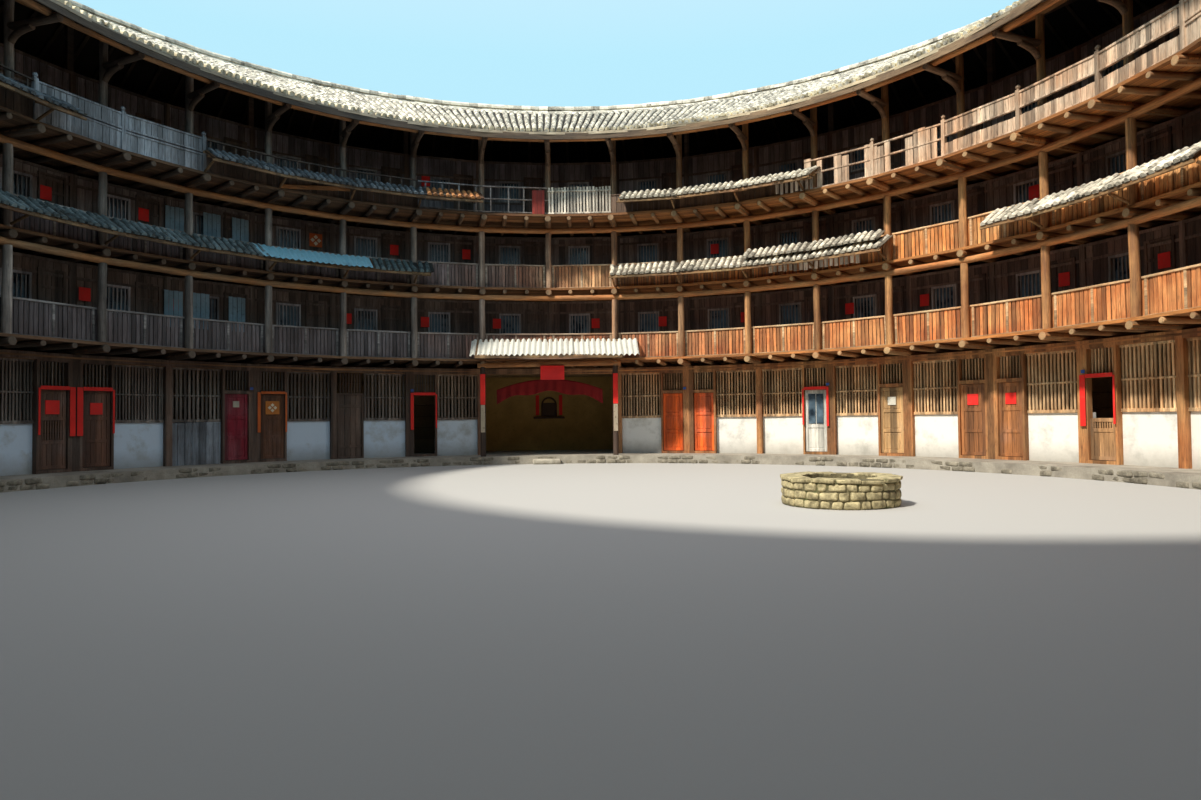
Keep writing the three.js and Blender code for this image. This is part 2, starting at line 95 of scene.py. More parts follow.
BAY = 10.0
BAY_LINES = [step * BAY for step in range(36)]
BAY_MIDDLES = [line + BAY / 2 for line in BAY_LINES]
FLOORS = (2, 3, 4)
FLOOR_TOP = {floor: head(f"floor_{floor}") for floor in FLOORS}
RAIL_TOP = {floor: head(f"parapet_{floor}") for floor in FLOORS}
PARAPET_OUT = {floor: reach(f"parapet_{floor}") for floor in FLOORS}
FRONT_TOP = {floor: head(f"room_front_{floor}") for floor in FLOORS}
FLOOR_NOSE = {2: 12.42, 3: 12.42, 4: 11.62}
PLINTH_TOP = head("stone_plinth")
EAVE_TOP = head("eave_fascia")
DECK = 0.07
JOIST = 0.18
BEAM = 0.17
HALF_POST = 0.09
BOARD = 0.04
ROOF_THICKNESS = 0.16

# Radii, from the courtyard outwards
EAVE_R = 10.86
EAVE_PURLIN_R = 11.35
PLANK_R = 11.74
TOP_PARAPET_R = 11.8
PLINTH_INNER_R = 12.3
HALL_POST_R = 12.5
GALLERY_R = reach("gallery_frame_2") - HALF_POST
CLOTH_R = 13.62
STRIP_R = 13.65
KITCHEN_R = 13.78
ROOM_FRONT_R = 13.9
RIDGE_R = 15.3
PLASTER_R = 17.1
WALL_INNER_R = 17.2
WALL_OUTER_R = 18.45
OUTER_EAVE_R = 19.75

RIDGE_TOP = 12.76
EAVE_Z = 10.44
ROOF_SLOPE = (RIDGE_TOP - EAVE_Z) / (RIDGE_R - EAVE_R)
DOOR_NEAR = 0.18
DOOR_FAR = 0.88
DOOR_HEAD = 2.3
HALF_KITCHEN_BAY = KITCHEN_R * math.sin(math.radians(BAY / 2))


def roof_top(radius):
    return RIDGE_TOP - ROOF_SLOPE * abs(RIDGE_R - radius)


def roof_under(radius):
    return roof_top(radius) - ROOF_THICKNESS


def mid_bay(radius):
    """The radius at the middle of a straight bay whose ends lie on a radius."""
    return radius * math.cos(math.radians(BAY / 2))


def half_bay(radius):
    return radius * math.sin(math.radians(BAY / 2))


def signed(bearing):
    """A bearing between -180 and 180."""
    return (bearing + 180) % 360 - 180


def linear(code):
    """A colour written as six hexadecimal digits, in linear light."""
    parts = [int(code[i : i + 2], 16) / 255 for i in (0, 2, 4)]
    return tuple(p / 12.92 if p <= 0.04045 else ((p + 0.055) / 1.055) ** 2.4 for p in parts)


# Modelling by hand


def cleared():
    """Deselects everything, so that an operator works on what it adds."""
    bpy.ops.object.select_all(action="DESELECT")


def only(*pieces):
    """Selects some pieces and nothing else."""
    cleared()
    for piece in pieces:
        piece.select_set(True)
    bpy.context.view_layer.objects.active = pieces[0]
    return pieces[0]


def worked(piece, kind, **settings):
    """Adds a modifier to a piece and applies it."""
    only(piece)
    step = piece.modifiers.new(kind.title(), kind)
    for name, value in settings.items():
        setattr(step, name, value)
    bpy.ops.object.modifier_apply(modifier=step.name)
    return piece


def seated():
    """Puts the new object's place, turn and size into its mesh."""
    bpy.ops.object.transform_apply(location=True, rotation=True, scale=True)
    return bpy.context.active_object


def smoothed(piece, degrees=None):
    """Shades a piece smooth, up to an angle if one is given."""
    only(piece)
    if degrees:
        bpy.ops.object.shade_smooth_by_angle(angle=math.radians(degrees))
    else:
        bpy.ops.object.shade_smooth()
    return piece


def eased(piece, width, **settings):
    """Bevels the edges of a piece, if a width is given."""
    return worked(piece, "BEVEL", width=width, segments=1, **settings) if width else piece


def block(x, y, z):
    """A box by its spans along the ring, outwards and up."""
    spans = (x, y, z)
    cleared()
    bpy.ops.mesh.primitive_cube_add(size=1, location=[(low + high) / 2 for low, high in spans])
    bpy.context.active_object.scale = [high - low for low, high in spans]
    return seated()


def bar(x, y, z, ease=0.006):
    """A squared timber by its spans, with its edges eased."""
    return eased(block(x, y, z), ease)


def strut(start, end, width, depth, ease=0.004):
    """A squared timber between two points, standing on its narrow side."""
    start, end = Vector(start), Vector(end)
    cleared()
    bpy.ops.mesh.primitive_cube_add(size=1, location=(start + end) / 2)
    piece = bpy.context.active_object
    piece.scale = (width, (end - start).length, depth)
    piece.rotation_euler = (end - start).to_track_quat("Y", "Z").to_euler()
    return eased(seated(), ease)


def log(start, end, radius, sides=12, ease=0.012):
    """A round timber between two points, with its ends eased."""
    start, end = Vector(start), Vector(end)
    cleared()
    bpy.ops.mesh.primitive_cylinder_add(
        vertices=sides,
        radius=radius,
        depth=(end - start).length,
        location=(start + end) / 2,
        rotation=(end - start).to_track_quat("Z", "Y").to_euler(),
    )
    return smoothed(eased(seated(), ease, angle_limit=math.radians(50)), 40)


def post(x, y, z, radius, cuts=5):
    """An upright round timber with loops along it, so that it can be bent a little."""
    piece = log((x, y, z[0]), (x, y, z[1]), radius, sides=10, ease=0)
    only(piece)
    bpy.ops.object.mode_set(mode="EDIT")
    for height in np.linspace(z[0], z[1], cuts + 2)[1:-1]:
        bpy.ops.mesh.select_all(action="SELECT")
        bpy.ops.mesh.bisect(plane_co=(0, 0, height), plane_no=(0, 0, 1))
    bpy.ops.object.mode_set(mode="OBJECT")
    return piece


def bent(points, radius, sides=8):
    """A crooked round timber along a smooth curve through some points."""
    cleared()
    bpy.ops.curve.primitive_bezier_curve_add(location=(0, 0, 0))
    curve = bpy.context.active_object
    spline = curve.data.splines[0]
    spline.bezier_points.add(len(points) - len(spline.bezier_points))
    for knot, point in zip(spline.bezier_points, points):
        knot.co = point
        knot.handle_left_type = knot.handle_right_type = "AUTO"
    curve.data.bevel_depth = radius
    curve.data.bevel_resolution = sides // 4
    curve.data.resolution_u = 6
    curve.data.use_fill_caps = True
    bpy.ops.object.convert(target="MESH")
    return seated()


def sheet_of_ridges(x, y, pitch, height, slope, thickness):
    """A corrugated sheet that falls towards the courtyard, by its spans and its top and bottom heights."""
    columns = round((x[1] - x[0]) / pitch) * 6
    cleared()
    bpy.ops.mesh.primitive_grid_add(x_subdivisions=columns, y_subdivisions=4, size=1)
    piece = bpy.context.active_object
    piece.location = ((x[0] + x[1]) / 2, (y[0] + y[1]) / 2, 0)
    piece.scale = (x[1] - x[0], y[1] - y[0], 1)
    seated()
    top, bottom = slope
    for vertex in piece.data.vertices:
        fall = (y[1] - vertex.co.y) / (y[1] - y[0])
        vertex.co.z = top + (bottom - top) * fall + height * math.sin(math.tau * vertex.co.x / pitch)
    return smoothed(worked(piece, "SOLIDIFY", thickness=thickness, offset=1), 50)


def joined(pieces):
    """Makes several pieces one."""
    only(*pieces)
    if len(pieces) > 1:
        bpy.ops.object.join()
    return bpy.context.active_object


def ring_turn(bearing):
    """The turn that takes what faces +Y to a bearing."""
    return Matrix.Rotation(-math.radians(bearing), 4, "Z")


def copied(piece, place):
    """A copy of a piece with its own mesh, moved by a matrix."""
    twin = piece.copy()
    twin.data = piece.data.copy()
    twin.data.transform(place)
    bpy.context.collection.objects.link(twin)
    return twin


def turned(piece, bearing, lift=0.0):
    """A copy of a piece at another bearing."""
    return copied(piece, ring_turn(bearing) @ Matrix.Translation((0, 0, lift)))


def turned_in_place(piece, bearing):
    piece.data.transform(ring_turn(bearing))
    return piece


def cycled(pieces, bearings):
    """Copies like pieces to the bearings in turn, and makes the copies one piece."""
    copies = [turned(pieces[i % len(pieces)], bearing) for i, bearing in enumerate(bearings)]
    for piece in pieces:
        bpy.data.objects.remove(piece)
    return joined(copies)


def round_ring(piece, bearings):
    return cycled([piece], bearings)


def in_bays(piece, bearings, reach):
    """Copies a piece along the straight bays, square to each bay, and makes the copies one piece."""
    copies = []
    for bearing in bearings:
        bay = math.floor(bearing / BAY) * BAY + BAY / 2
        slide = reach * math.tan(math.radians(bearing - bay))
        copies.append(copied(piece, ring_turn(bay) @ Matrix.Translation((slide, 0, 0))))
    bpy.data.objects.remove(piece)
    return joined(copies)


def swept(piece, count):
    """Repeats a piece all the way round the ring."""
    cleared()
    bpy.ops.object.empty_add(rotation=(0, 0, -math.tau / count))
    turn = bpy.context.active_object
    bpy.context.view_layer.update()
    worked(piece, "ARRAY", count=count, use_relative_offset=False, use_object_offset=True, offset_object=turn)
    bpy.data.objects.remove(turn)
    return piece


def arrayed(piece, count, step):
    """Repeats a piece in a straight line."""
    return worked(piece, "ARRAY", count=count, use_relative_offset=False, use_constant_offset=True,
                  constant_offset_displace=step)


def jumbled(piece, copies, slide, seed):
    """Moves each copy in a repeated piece a little by itself, so that no two lie quite alike."""
    mesh = piece.data
    points = np.empty(len(mesh.vertices) * 3)
    mesh.vertices.foreach_get("co", points)
    points = points.reshape(copies, -1, 3)
    points += np.random.default_rng(seed).uniform(-1, 1, (copies, 1, 3)) * slide
    mesh.vertices.foreach_set("co", points.ravel())
    mesh.update()
    return piece


def aged(piece, amount=0.02, size=1.1):
    """Bends and settles a piece a little, as old timber does. Pieces near each other move together."""
    texture = bpy.data.textures.get(f"Settling {size}") or bpy.data.textures.new(f"Settling {size}", "CLOUDS")
    texture.cloud_type = "COLOR"
    texture.noise_scale = size
    return worked(piece, "DISPLACE", texture=texture, texture_coords="LOCAL", direction="RGB_TO_XYZ",
                  strength=amount, mid_level=0.5)


def boards(x, y, z, pitch, seed=1, gap=0.01, slide=(0.002, 0.005, 0.008), ease=0.003):
    """Upright boards or bars side by side over a span."""
    count = max(1, round((x[1] - x[0]) / pitch))
    step = (x[1] - x[0]) / count
    piece = bar((x[0] + gap / 2, x[0] + step - gap / 2), y, z, ease)
    return jumbled(arrayed(piece, count, (step, 0, 0)), count, slide, seed)


def framed(x, y, z, width, ease=0.004):
    """Four bars round an opening, by its clear spans."""
    out_x, out_z = (x[0] - width, x[1] + width), (z[0] - width, z[1] + width)
    sides = [((out_x[0], x[0]), out_z), ((x[1], out_x[1]), out_z)]
    ends = [(x, (out_z[0], z[0])), (x, (z[1], out_z[1]))]
    return joined([bar(across, y, up, ease) for across, up in sides + ends])


def between(start, end, step):
    """Evenly spaced bearings from start to end."""
    count = max(1, round((end - start) / step))
    return [start + (end - start) * (i + 0.5) / count for i in range(count)]


def cut_flat(piece, height, keep_above=True):
    """Cuts a piece at a height and closes the cut."""
    only(piece)
    bpy.ops.object.mode_set(mode="EDIT")
    bpy.ops.mesh.select_all(action="SELECT")
    bpy.ops.mesh.bisect(plane_co=(0, 0, height), plane_no=(0, 0, 1), clear_inner=keep_above,
                        clear_outer=not keep_above, use_fill=True)
    bpy.ops.object.mode_set(mode="OBJECT")
    return piece


def dressed(nodes, finish):
    """Gives nodes of the frame their finish."""
    for node in nodes:
        for place in frame["nodes"][node].material_slots:
            place.material = finish


def finished(piece, name, finish, slot, body="house"):
    """Names a piece, gives it its finish and lets it ride on a body of the frame."""
    piece.name = piece.data.name = name
    piece.data.materials.clear()
    piece.data.materials.append(finish)
    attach(piece, body)
    return piece


# Shader building blocks


def feed(tree, socket, value):
    """Links a socket to another one, or sets its value."""
    if isinstance(value, bpy.types.NodeSocket):
        tree.links.new(value, socket)
    elif socket.type == "RGBA" and len(value) == 3:
        socket.default_value = (*value, 1)
    else:
        socket.default_value = value


def maths(tree, operation, a, b=0.0, clamp=False):
    made = tree.nodes.new("ShaderNodeMath")
    made.operation = operation
    made.use_clamp = clamp
    feed(tree, made.inputs[0], a)
    feed(tree, made.inputs[1], b)
    return made.outputs[0]


def plus(tree, a, b):
    return maths(tree, "ADD", a, b)


def minus(tree, a, b):
    return maths(tree, "SUBTRACT", a, b)


def times(tree, a, b):
    return maths(tree, "MULTIPLY", a, b)


def vector_maths(tree, operation, *given):
    """A step of vector arithmetic, and what it puts out."""
    made = tree.nodes.new("ShaderNodeVectorMath")
    made.operation = operation
    for socket, value in zip(made.inputs, given):
        feed(tree, socket, value)
    return made.outputs


def brightened(tree, colour, amount):
    """Multiplies a colour by a value."""
    made = vector_maths(tree, "SCALE", colour)[0]
    feed(tree, made.node.inputs["Scale"], amount)
    return made


def noise(tree, vector, scale, detail=3.0, rough=0.55):
    made = tree.nodes.new("ShaderNodeTexNoise")
    feed(tree, made.inputs["Vector"], vector)
    made.inputs["Scale"].default_value = scale
    made.inputs["Detail"].default_value = detail
    made.inputs["Roughness"].default_value = rough
    return made.outputs["Fac"]


def rescaled(tree, value, low, high, to_low=0.0, to_high=1.0):
    """Maps a range of values to another, and keeps within it."""
    made = tree.nodes.new("ShaderNodeMapRange")
    feed(tree, made.inputs["Value"], value)
    for name, limit in (("From Min", low), ("From Max", high), ("To Min", to_low), ("To Max", to_high)):
        made.inputs[name].default_value = limit
    return made.outputs["Result"]


def blended(tree, factor, a, b):
    """Goes from one colour to another. A colour may be a code, a tuple or a socket."""
    made = tree.nodes.new("ShaderNodeMix")
    made.data_type = "RGBA"
    feed(tree, made.inputs[0], factor)
    for socket, colour in zip((made.inputs[6], made.inputs[7]), (a, b)):
        feed(tree, socket, linear(colour) if isinstance(colour, str) else colour)
    return made.outputs[2]


def packed(tree, x, y, z):
    made = tree.nodes.new("ShaderNodeCombineXYZ")
    for socket, value in zip(made.inputs, (x, y, z)):
        feed(tree, socket, value)
    return made.outputs[0]


def split(tree, vector):
    made = tree.nodes.new("ShaderNodeSeparateXYZ")
    feed(tree, made.inputs[0], vector)
    return made.outputs


def group(name, inputs, outputs, build):
    """A shader node group, built once. build takes the tree and its inputs, and returns what it puts out."""
    tree = bpy.data.node_groups.get(name)
    if tree:
        return tree
    tree = bpy.data.node_groups.new(name, "ShaderNodeTree")
    for label, kind in inputs:
        tree.interface.new_socket(name=label, in_out="INPUT", socket_type=kind)
    for label, kind in outputs:
        tree.interface.new_socket(name=label, in_out="OUTPUT", socket_type=kind)
    entry, leave = tree.nodes.new("NodeGroupInput"), tree.nodes.new("NodeGroupOutput")
    results = build(tree, {label: entry.outputs[label] for label, _ in inputs})
    for label, _ in outputs:
        feed(tree, leave.inputs[label], results[label])
    return tree


def used(tree, made, **values):
    """Places a node group in a tree with its own values, and returns its outputs."""
    node = tree.nodes.new("ShaderNodeGroup")
    node.node_tree = made
    for name, value in values.items():
        feed(tree, node.inputs[name], value)
    return node.outputs


FLOAT, VECTOR, COLOUR = "NodeSocketFloat", "NodeSocketVector", "NodeSocketColor"
GRAIN = 14.0


def sockets(kind, *names):
    return [(name, kind) for name in names]


def ring_place(tree, where):
    """A point's bearing, reach and height on the ring, and coordinates stretched for each run of grain."""

    def build(tree, given):
        x, y, z = split(tree, given["Vector"])
        angle = maths(tree, "ARCTAN2", x, y)
        along = times(tree, angle, GALLERY_R)
        out = maths(tree, "SQRT", plus(tree, times(tree, x, x), times(tree, y, y)))
        fine = [times(tree, value, GRAIN) for value in (along, out, z)]
        return {
            "Bearing": maths(tree, "DEGREES", angle),
            "Along": along,
            "Out": out,
            "Up": z,
            "Upright": packed(tree, fine[0], fine[1], z),
            "Lengthwise": packed(tree, along, fine[1], fine[2]),
            "Outward": packed(tree, fine[0], out, fine[2]),
        }

    outputs = sockets(FLOAT, "Bearing", "Along", "Out", "Up")
    outputs += sockets(VECTOR, "Upright", "Lengthwise", "Outward")
    return used(tree, group("Ring Place", sockets(VECTOR, "Vector"), outputs, build), Vector=where)


def cells(tree, across, pitch, row=0.0):
    """Divides a length into equal boards or tiles: a random value for each, and a line at each joint."""

    def build(tree, given):
        steps = maths(tree, "DIVIDE", given["Across"], given["Pitch"])
        whole = maths(tree, "FLOOR", steps)
        made = tree.nodes.new("ShaderNodeTexWhiteNoise")
        made.noise_dimensions = "2D"
        feed(tree, made.inputs["Vector"], packed(tree, whole, given["Row"], 0.0))
        from_middle = maths(tree, "ABSOLUTE", minus(tree, minus(tree, steps, whole), 0.5))
        joint = rescaled(tree, from_middle, 0.44, 0.49)
        return {"Value": made.outputs["Value"], "Joint": joint, "Index": whole}

    inputs, outputs = sockets(FLOAT, "Across", "Pitch", "Row"), sockets(FLOAT, "Value", "Joint", "Index")
    return used(tree, group("Cells", inputs, outputs, build), Across=across, Pitch=pitch, Row=row)


def old_timber(tree, **values):
    """Weathered wood: fibres, drying cracks, bleached patches and a different tone for each board."""

    def build(tree, given):
        fibre = noise(tree, given["Grain"], 2.6, 6.0, 0.7)
        streak = noise(tree, given["Grain"], 0.45, 3.0, 0.6)
        cracks = rescaled(tree, noise(tree, given["Grain"], 5.5, 2.0, 0.5), 0.62, 0.72)
        patch = noise(tree, given["Vector"], 0.9, 4.0, 0.6)
        uneven = rescaled(tree, patch, 0.3, 0.7, -0.45, 0.45)
        bleached = maths(tree, "ADD", given["Bleach"], uneven, clamp=True)
        wood = blended(tree, bleached, given["Fresh"], given["Weathered"])
        wood = blended(tree, rescaled(tree, fibre, 0.3, 0.6, 0.5, 1.0), given["Dark"], wood)
        wood = blended(tree, times(tree, cracks, 0.5), wood, given["Dark"])
        tone = rescaled(tree, given["Board"], 0.0, 1.0, 0.55, 1.4)
        tone = times(tree, tone, rescaled(tree, streak, 0.35, 0.65, 0.65, 1.3))
        return {
            "Color": brightened(tree, wood, tone),
            "Roughness": rescaled(tree, patch, 0.3, 0.7, 0.62, 0.92),
            "Height": minus(tree, fibre, times(tree, cracks, 0.8)),
        }

    inputs = sockets(VECTOR, "Vector", "Grain") + sockets(COLOUR, "Fresh", "Weathered", "Dark")
    inputs += sockets(FLOAT, "Bleach", "Board")
    outputs = sockets(COLOUR, "Color") + sockets(FLOAT, "Roughness", "Height")
    return used(tree, group("Old Timber", inputs, outputs, build), **values)


def sunlit_and_weathered_side(tree, bearing, patch):
    """Nothing in the west of the ring and one in the east, where the woods turn redder and brighter: partly
    their own red-brown, partly painted sunlight on the sunlit east and painted shade on the west.
    """

    def build(tree, given):
        patch = times(tree, minus(tree, given["Patch"], 0.5), 30.0)
        eastward = maths(tree, "SINE", times(tree, given["Bearing"], math.pi / 180))
        eastward = times(tree, maths(tree, "ARCSINE", eastward), 180 / math.pi)
        return {"East": rescaled(tree, plus(tree, eastward, patch), -22.0, 30.0)}

    made = group("Sunlit And Weathered Side", sockets(FLOAT, "Bearing", "Patch"), sockets(FLOAT, "East"), build)
    return used(tree, made, Bearing=bearing, Patch=patch)["East"]


def growth(tree, where, colour, code, amount):
    """Dark lichen and moss in patches on a colour, thicker where the amount is larger."""

    def build(tree, given):
        broad = noise(tree, given["Vector"], 1.4, 5.0, 0.65)
        fine = noise(tree, given["Vector"], 17.0, 3.0, 0.6)
        both = plus(tree, times(tree, broad, 0.7), times(tree, fine, 0.3))
        shifted = plus(tree, both, minus(tree, given["Amount"], 0.5))
        return {"Color": blended(tree, rescaled(tree, shifted, 0.5, 0.62), given["Color"], given["Growth"])}

    inputs = sockets(VECTOR, "Vector") + sockets(COLOUR, "Color", "Growth") + sockets(FLOAT, "Amount")
    made = group("Growth", inputs, sockets(COLOUR, "Color"), build)
    return used(tree, made, Vector=where, Color=colour, Growth=linear(code), Amount=amount)["Color"]


def blank(name, rough=0.85):
    """A new material: the material, its tree, and the place of the point that is shaded."""
    made = bpy.data.materials.new(name.replace(" ", "_"))
    made.use_nodes = True
    made.node_tree.nodes["Principled BSDF"].inputs["Roughness"].default_value = rough
    return made, made.node_tree, made.node_tree.nodes.new("ShaderNodeTexCoord").outputs["Object"]


def shaded(made, colour, height=None, depth=0.01, rough=None):
    """Gives a material its colour, its relief and its roughness."""
    tree = made.node_tree
    shader = tree.nodes["Principled BSDF"]
    feed(tree, shader.inputs["Base Color"], colour)
    if rough is not None:
        feed(tree, shader.inputs["Roughness"], rough)
    if height is not None:
        bump = tree.nodes.new("ShaderNodeBump")
        bump.inputs["Distance"].default_value = depth
        feed(tree, bump.inputs["Height"], height)
        tree.links.new(bump.outputs[0], shader.inputs["Normal"])
    return made


def once(build):
    """Keeps what a material's function makes, so that each material is made once."""
    kept = {}

    def get(*given):
        if given not in kept:
            kept[given] = build(*given)
        return kept[given]

    return get


# Materials

DARK_WOOD = linear("21160f")
# Two woods by side of the ring: (west fresh, west weathered, east fresh, east weathered). The east pair is
# redder and brighter and the west pair greyer, often bluish: partly the wood's own colour, partly painted
# sunlight in the east and painted shade in the west.
WOODS = {
    "parapet": ("564a4a", "726e70", "c0662e", "e4a468"),
    "high parapet": ("50464a", "787680", "d8823e", "f2c080"),
    # Darker than the open top-floor boards: painted shade under the small roofs before them.
    "covered": ("40342e", "5c524a", "5a4232", "74583f"),
    # Paler than the boards: partly painted highlight along the rails.
    "rail": ("6e6662", "9c9a98", "c08450", "e8cca0"),
    "top parapet": ("6c6e72", "98a2ac", "c0906a", "dcc6ac"),
    "post": ("544840", "a29a92", "8a542e", "c8945e"),
    "beam": ("a5703e", "94795c", "b4682e", "bc8c5a"),
    "joist": ("503c2e", "6c6054", "9a6238", "b89468"),
    "kitchen": ("5e4232", "6c5e54", "a05e30", "b48656"),
    "rooms": ("5c4a40", "746a64", "66463a", "7c6658"),
    "middle rooms": ("685854", "86807c", "785c4e", "8e7a6e"),
    # Paler and bluer than the lower rooms: painted blue shade and faint highlight under the roof.
    "top rooms": ("706a70", "94949e", "86706a", "a09490"),
    "soffit": ("6a4a30", "745c44", "b46c30", "b07c48"),
    "roof timber": ("4a382c", "5a4e44", "5a4230", "6a584a"),
    "eave": ("8c7c68", "a89e8c", "b09472", "ccbc9c"),
    "bracket": ("5c4a3c", "7e7266", "7c5a40", "a0846a"),
    "fascia": ("3e342c", "544a40", "6a5038", "947a5c"),
    "slats": ("66564e", "888078", "c08a58", "e4c498"),
    "window": ("8e8a8c", "aaaab0", "86766c", "a89c94"),
    "upper door": ("52443c", "6c625c", "64463a", "7c6250"),
    "pale slats": ("d4c6b2", "dcd6ca", "e4d0b4", "e8dccc"),
    "canopy": ("6b4a2c", "7c684c", "8a5c34", "9c8058"),
    "hall": ("38281e", "483c34", "3e2a1e", "4a3c32"),
}


def wood_of(tree, where, kind, run, across, pitch, bleach):
    """Old timber of a kind, redder and brighter in the east, partly as painted sunlight. Returns the wood,
    its boards and how far east a point is.
    """
    place = ring_place(tree, where)
    east = sunlit_and_weathered_side(tree, place["Bearing"], noise(tree, where, 0.35, 2.0))
    west_fresh, west_old, east_fresh, east_old = WOODS[kind]
    board = cells(tree, place[across], pitch)
    fresh, old = blended(tree, east, west_fresh, east_fresh), blended(tree, east, west_old, east_old)
    wood = old_timber(tree, Vector=where, Grain=place[run], Fresh=fresh, Weathered=old, Dark=DARK_WOOD,
                      Bleach=bleach, Board=board["Value"])
    return wood, board, east


@once
def timber(kind, run="Upright", pitch=0.17, bleach=0.5, across="Along"):
    """Old timber of one kind, with its grain along a run and a tone for each board of a width."""
    made, tree, where = blank(f"{kind} {run} {pitch} {bleach}")
    wood, _, _ = wood_of(tree, where, kind, run, across, pitch, bleach)
    return shaded(made, wood["Color"], wood["Height"], 0.008, wood["Roughness"])


@once
def planks(kind, run, pitch, across, bleach=0.4):
    """A boarded surface whose joints are drawn, for boards that lie close."""
    made, tree, where = blank(f"{kind} planks {run} {pitch}")
    wood, board, _ = wood_of(tree, where, kind, run, across, pitch, bleach)
    lined = blended(tree, times(tree, board["Joint"], 0.8), wood["Color"], DARK_WOOD)
    return shaded(made, lined, minus(tree, wood["Height"], board["Joint"]), 0.01, wood["Roughness"])


@once
def log_ends(kind):
    """Old round timber along the radius, with pale cut ends."""
    made, tree, where = blank(f"{kind}_logs")
    wood, _, east = wood_of(tree, where, kind, "Outward", "Along", 0.73, 0.45)
    x, y, _ = split(tree, where)
    away = vector_maths(tree, "NORMALIZE", packed(tree, x, y, 0.0))[0]
    normal = tree.nodes.new("ShaderNodeTexCoord").outputs["Normal"]
    facing = maths(tree, "ABSOLUTE", vector_maths(tree, "DOT_PRODUCT", away, normal)["Value"])
    # The cut ends are much paler in the east: partly painted sunlight, as with the woods.
    shade, light = blended(tree, east, "3c3028", "a87c4c"), blended(tree, east, "7e6e5c", "d4ba90")
    cut = blended(tree, noise(tree, where, 30.0, 3.0), shade, light)
    colour = blended(tree, rescaled(tree, facing, 0.8, 0.95, 0.0, 0.45), wood["Color"], cut)
    return shaded(made, colour, wood["Height"], 0.008, wood["Roughness"])


@once
def stained_wood(name, code, bleach=0.05):
    """A door's wood in one colour, worn along its grain."""
    made, tree, where = blank(name)
    place = ring_place(tree, where)
    colour = linear(code)
    wood = old_timber(tree, Vector=where, Grain=place["Upright"], Fresh=colour,
                      Weathered=tuple(c * 0.6 + 0.12 for c in colour), Dark=tuple(c * 0.25 for c in colour),
                      Bleach=bleach, Board=cells(tree, place["Along"], 0.19)["Value"])
    return shaded(made, wood["Color"], wood["Height"], 0.004, wood["Roughness"])


@once
def roof_tile(rows, pale="ece4d2", dark="665e52", lichen=0.4):
    """Weathered clay tiles in rows round the ring, each with its own tone, with lichen."""
    made, tree, where = blank(f"clay_tile_{rows}_{pale}", 0.88)
    place = ring_place(tree, where)
    row = cells(tree, place["Bearing"], 360.0 / rows)
    tile = cells(tree, place["Out"], 0.22, row["Index"])
    mottle = noise(tree, where, 9.0, 4.0, 0.65)
    body = blended(tree, rescaled(tree, mottle, 0.3, 0.7), dark, pale)
    body = blended(tree, rescaled(tree, tile["Value"], 0.0, 0.9, 0.0, 0.75), body, pale)
    body = brightened(tree, body, rescaled(tree, tile["Value"], 0.0, 1.0, 0.6, 1.15))
    return shaded(made, growth(tree, where, body, "3c3a30", lichen), mottle)


@once
def slope_finish():
    """Channel tiles above and boards below, both near black: painted shade in the gaps between the cover
    tiles and under the roof.
    """
    made, tree, where = blank("slope_both_sides", 0.95)
    place = ring_place(tree, where)
    mottle = noise(tree, where, 6.0, 4.0, 0.7)
    # Near-black channels: painted shade between the cover tiles.
    above = blended(tree, mottle, "100e0c", "38332c")
    above = blended(tree, cells(tree, place["Out"], 0.2)["Joint"], above, "12100e")
    # Near-black boards: painted shade under the roof.
    below = blended(tree, noise(tree, place["Outward"], 2.6, 5.0, 0.7), "14110f", "3a322c")
    normal = tree.nodes.new("ShaderNodeTexCoord").outputs["Normal"]
    upward = maths(tree, "GREATER_THAN", split(tree, normal)[2], 0.0)
    return shaded(made, blended(tree, upward, below, above), mottle, 0.015)


@once
def rammed_earth():
    """Rammed earth in lifts, streaked by rain and patched, with pebbles in it."""
    made, tree, where = blank("rammed_earth", 0.95)
    place = ring_place(tree, where)
    wavy = plus(tree, place["Up"], times(tree, noise(tree, where, 0.6, 3.0), 0.12))
    lift = cells(tree, wavy, 0.42)
    broad = noise(tree, where, 0.5, 5.0, 0.6)
    fine = noise(tree, where, 22.0, 5.0, 0.7)
    body = blended(tree, rescaled(tree, broad, 0.3, 0.7), "8a6b47", "c0a27a")
    body = blended(tree, rescaled(tree, fine, 0.35, 0.7, 0.0, 0.5), body, "6e5438")
    body = brightened(tree, body, rescaled(tree, lift["Value"], 0.0, 1.0, 0.86, 1.1))
    rain = rescaled(tree, noise(tree, place["Upright"], 0.35, 3.0, 0.6), 0.55, 0.75)
    body = blended(tree, times(tree, rain, 0.45), body, "5c4a38")
    foot_damp = rescaled(tree, plus(tree, place["Up"], broad), 2.4, 0.9)
    body = blended(tree, times(tree, foot_damp, 0.6), body, "5a5140")
    body = blended(tree, times(tree, lift["Joint"], 0.5), body, "5a452e")
    return shaded(made, body, minus(tree, fine, times(tree, lift["Joint"], 0.6)), 0.02)


@once
def limewash():
    """Limewash on a dwarf wall: bluish in the west as painted shade, worn and stained at its foot."""
    made, tree, where = blank("limewash", 0.8)
    place = ring_place(tree, where)
    broad = noise(tree, where, 1.6, 5.0, 0.65)
    # Bluish white in the west is painted shade; the east keeps a warm white.
    wash = blended(tree, sunlit_and_weathered_side(tree, place["Bearing"], 0.5), "d4e2f0", "f0ece2")
    wash = blended(tree, rescaled(tree, broad, 0.5, 0.72, 0.0, 0.7), wash, "9c9a90")
    low = rescaled(tree, plus(tree, place["Up"], times(tree, broad, 0.6)), 1.05, 0.55)
    return shaded(made, blended(tree, times(tree, low, 0.6), wash, "7c7668"), broad)


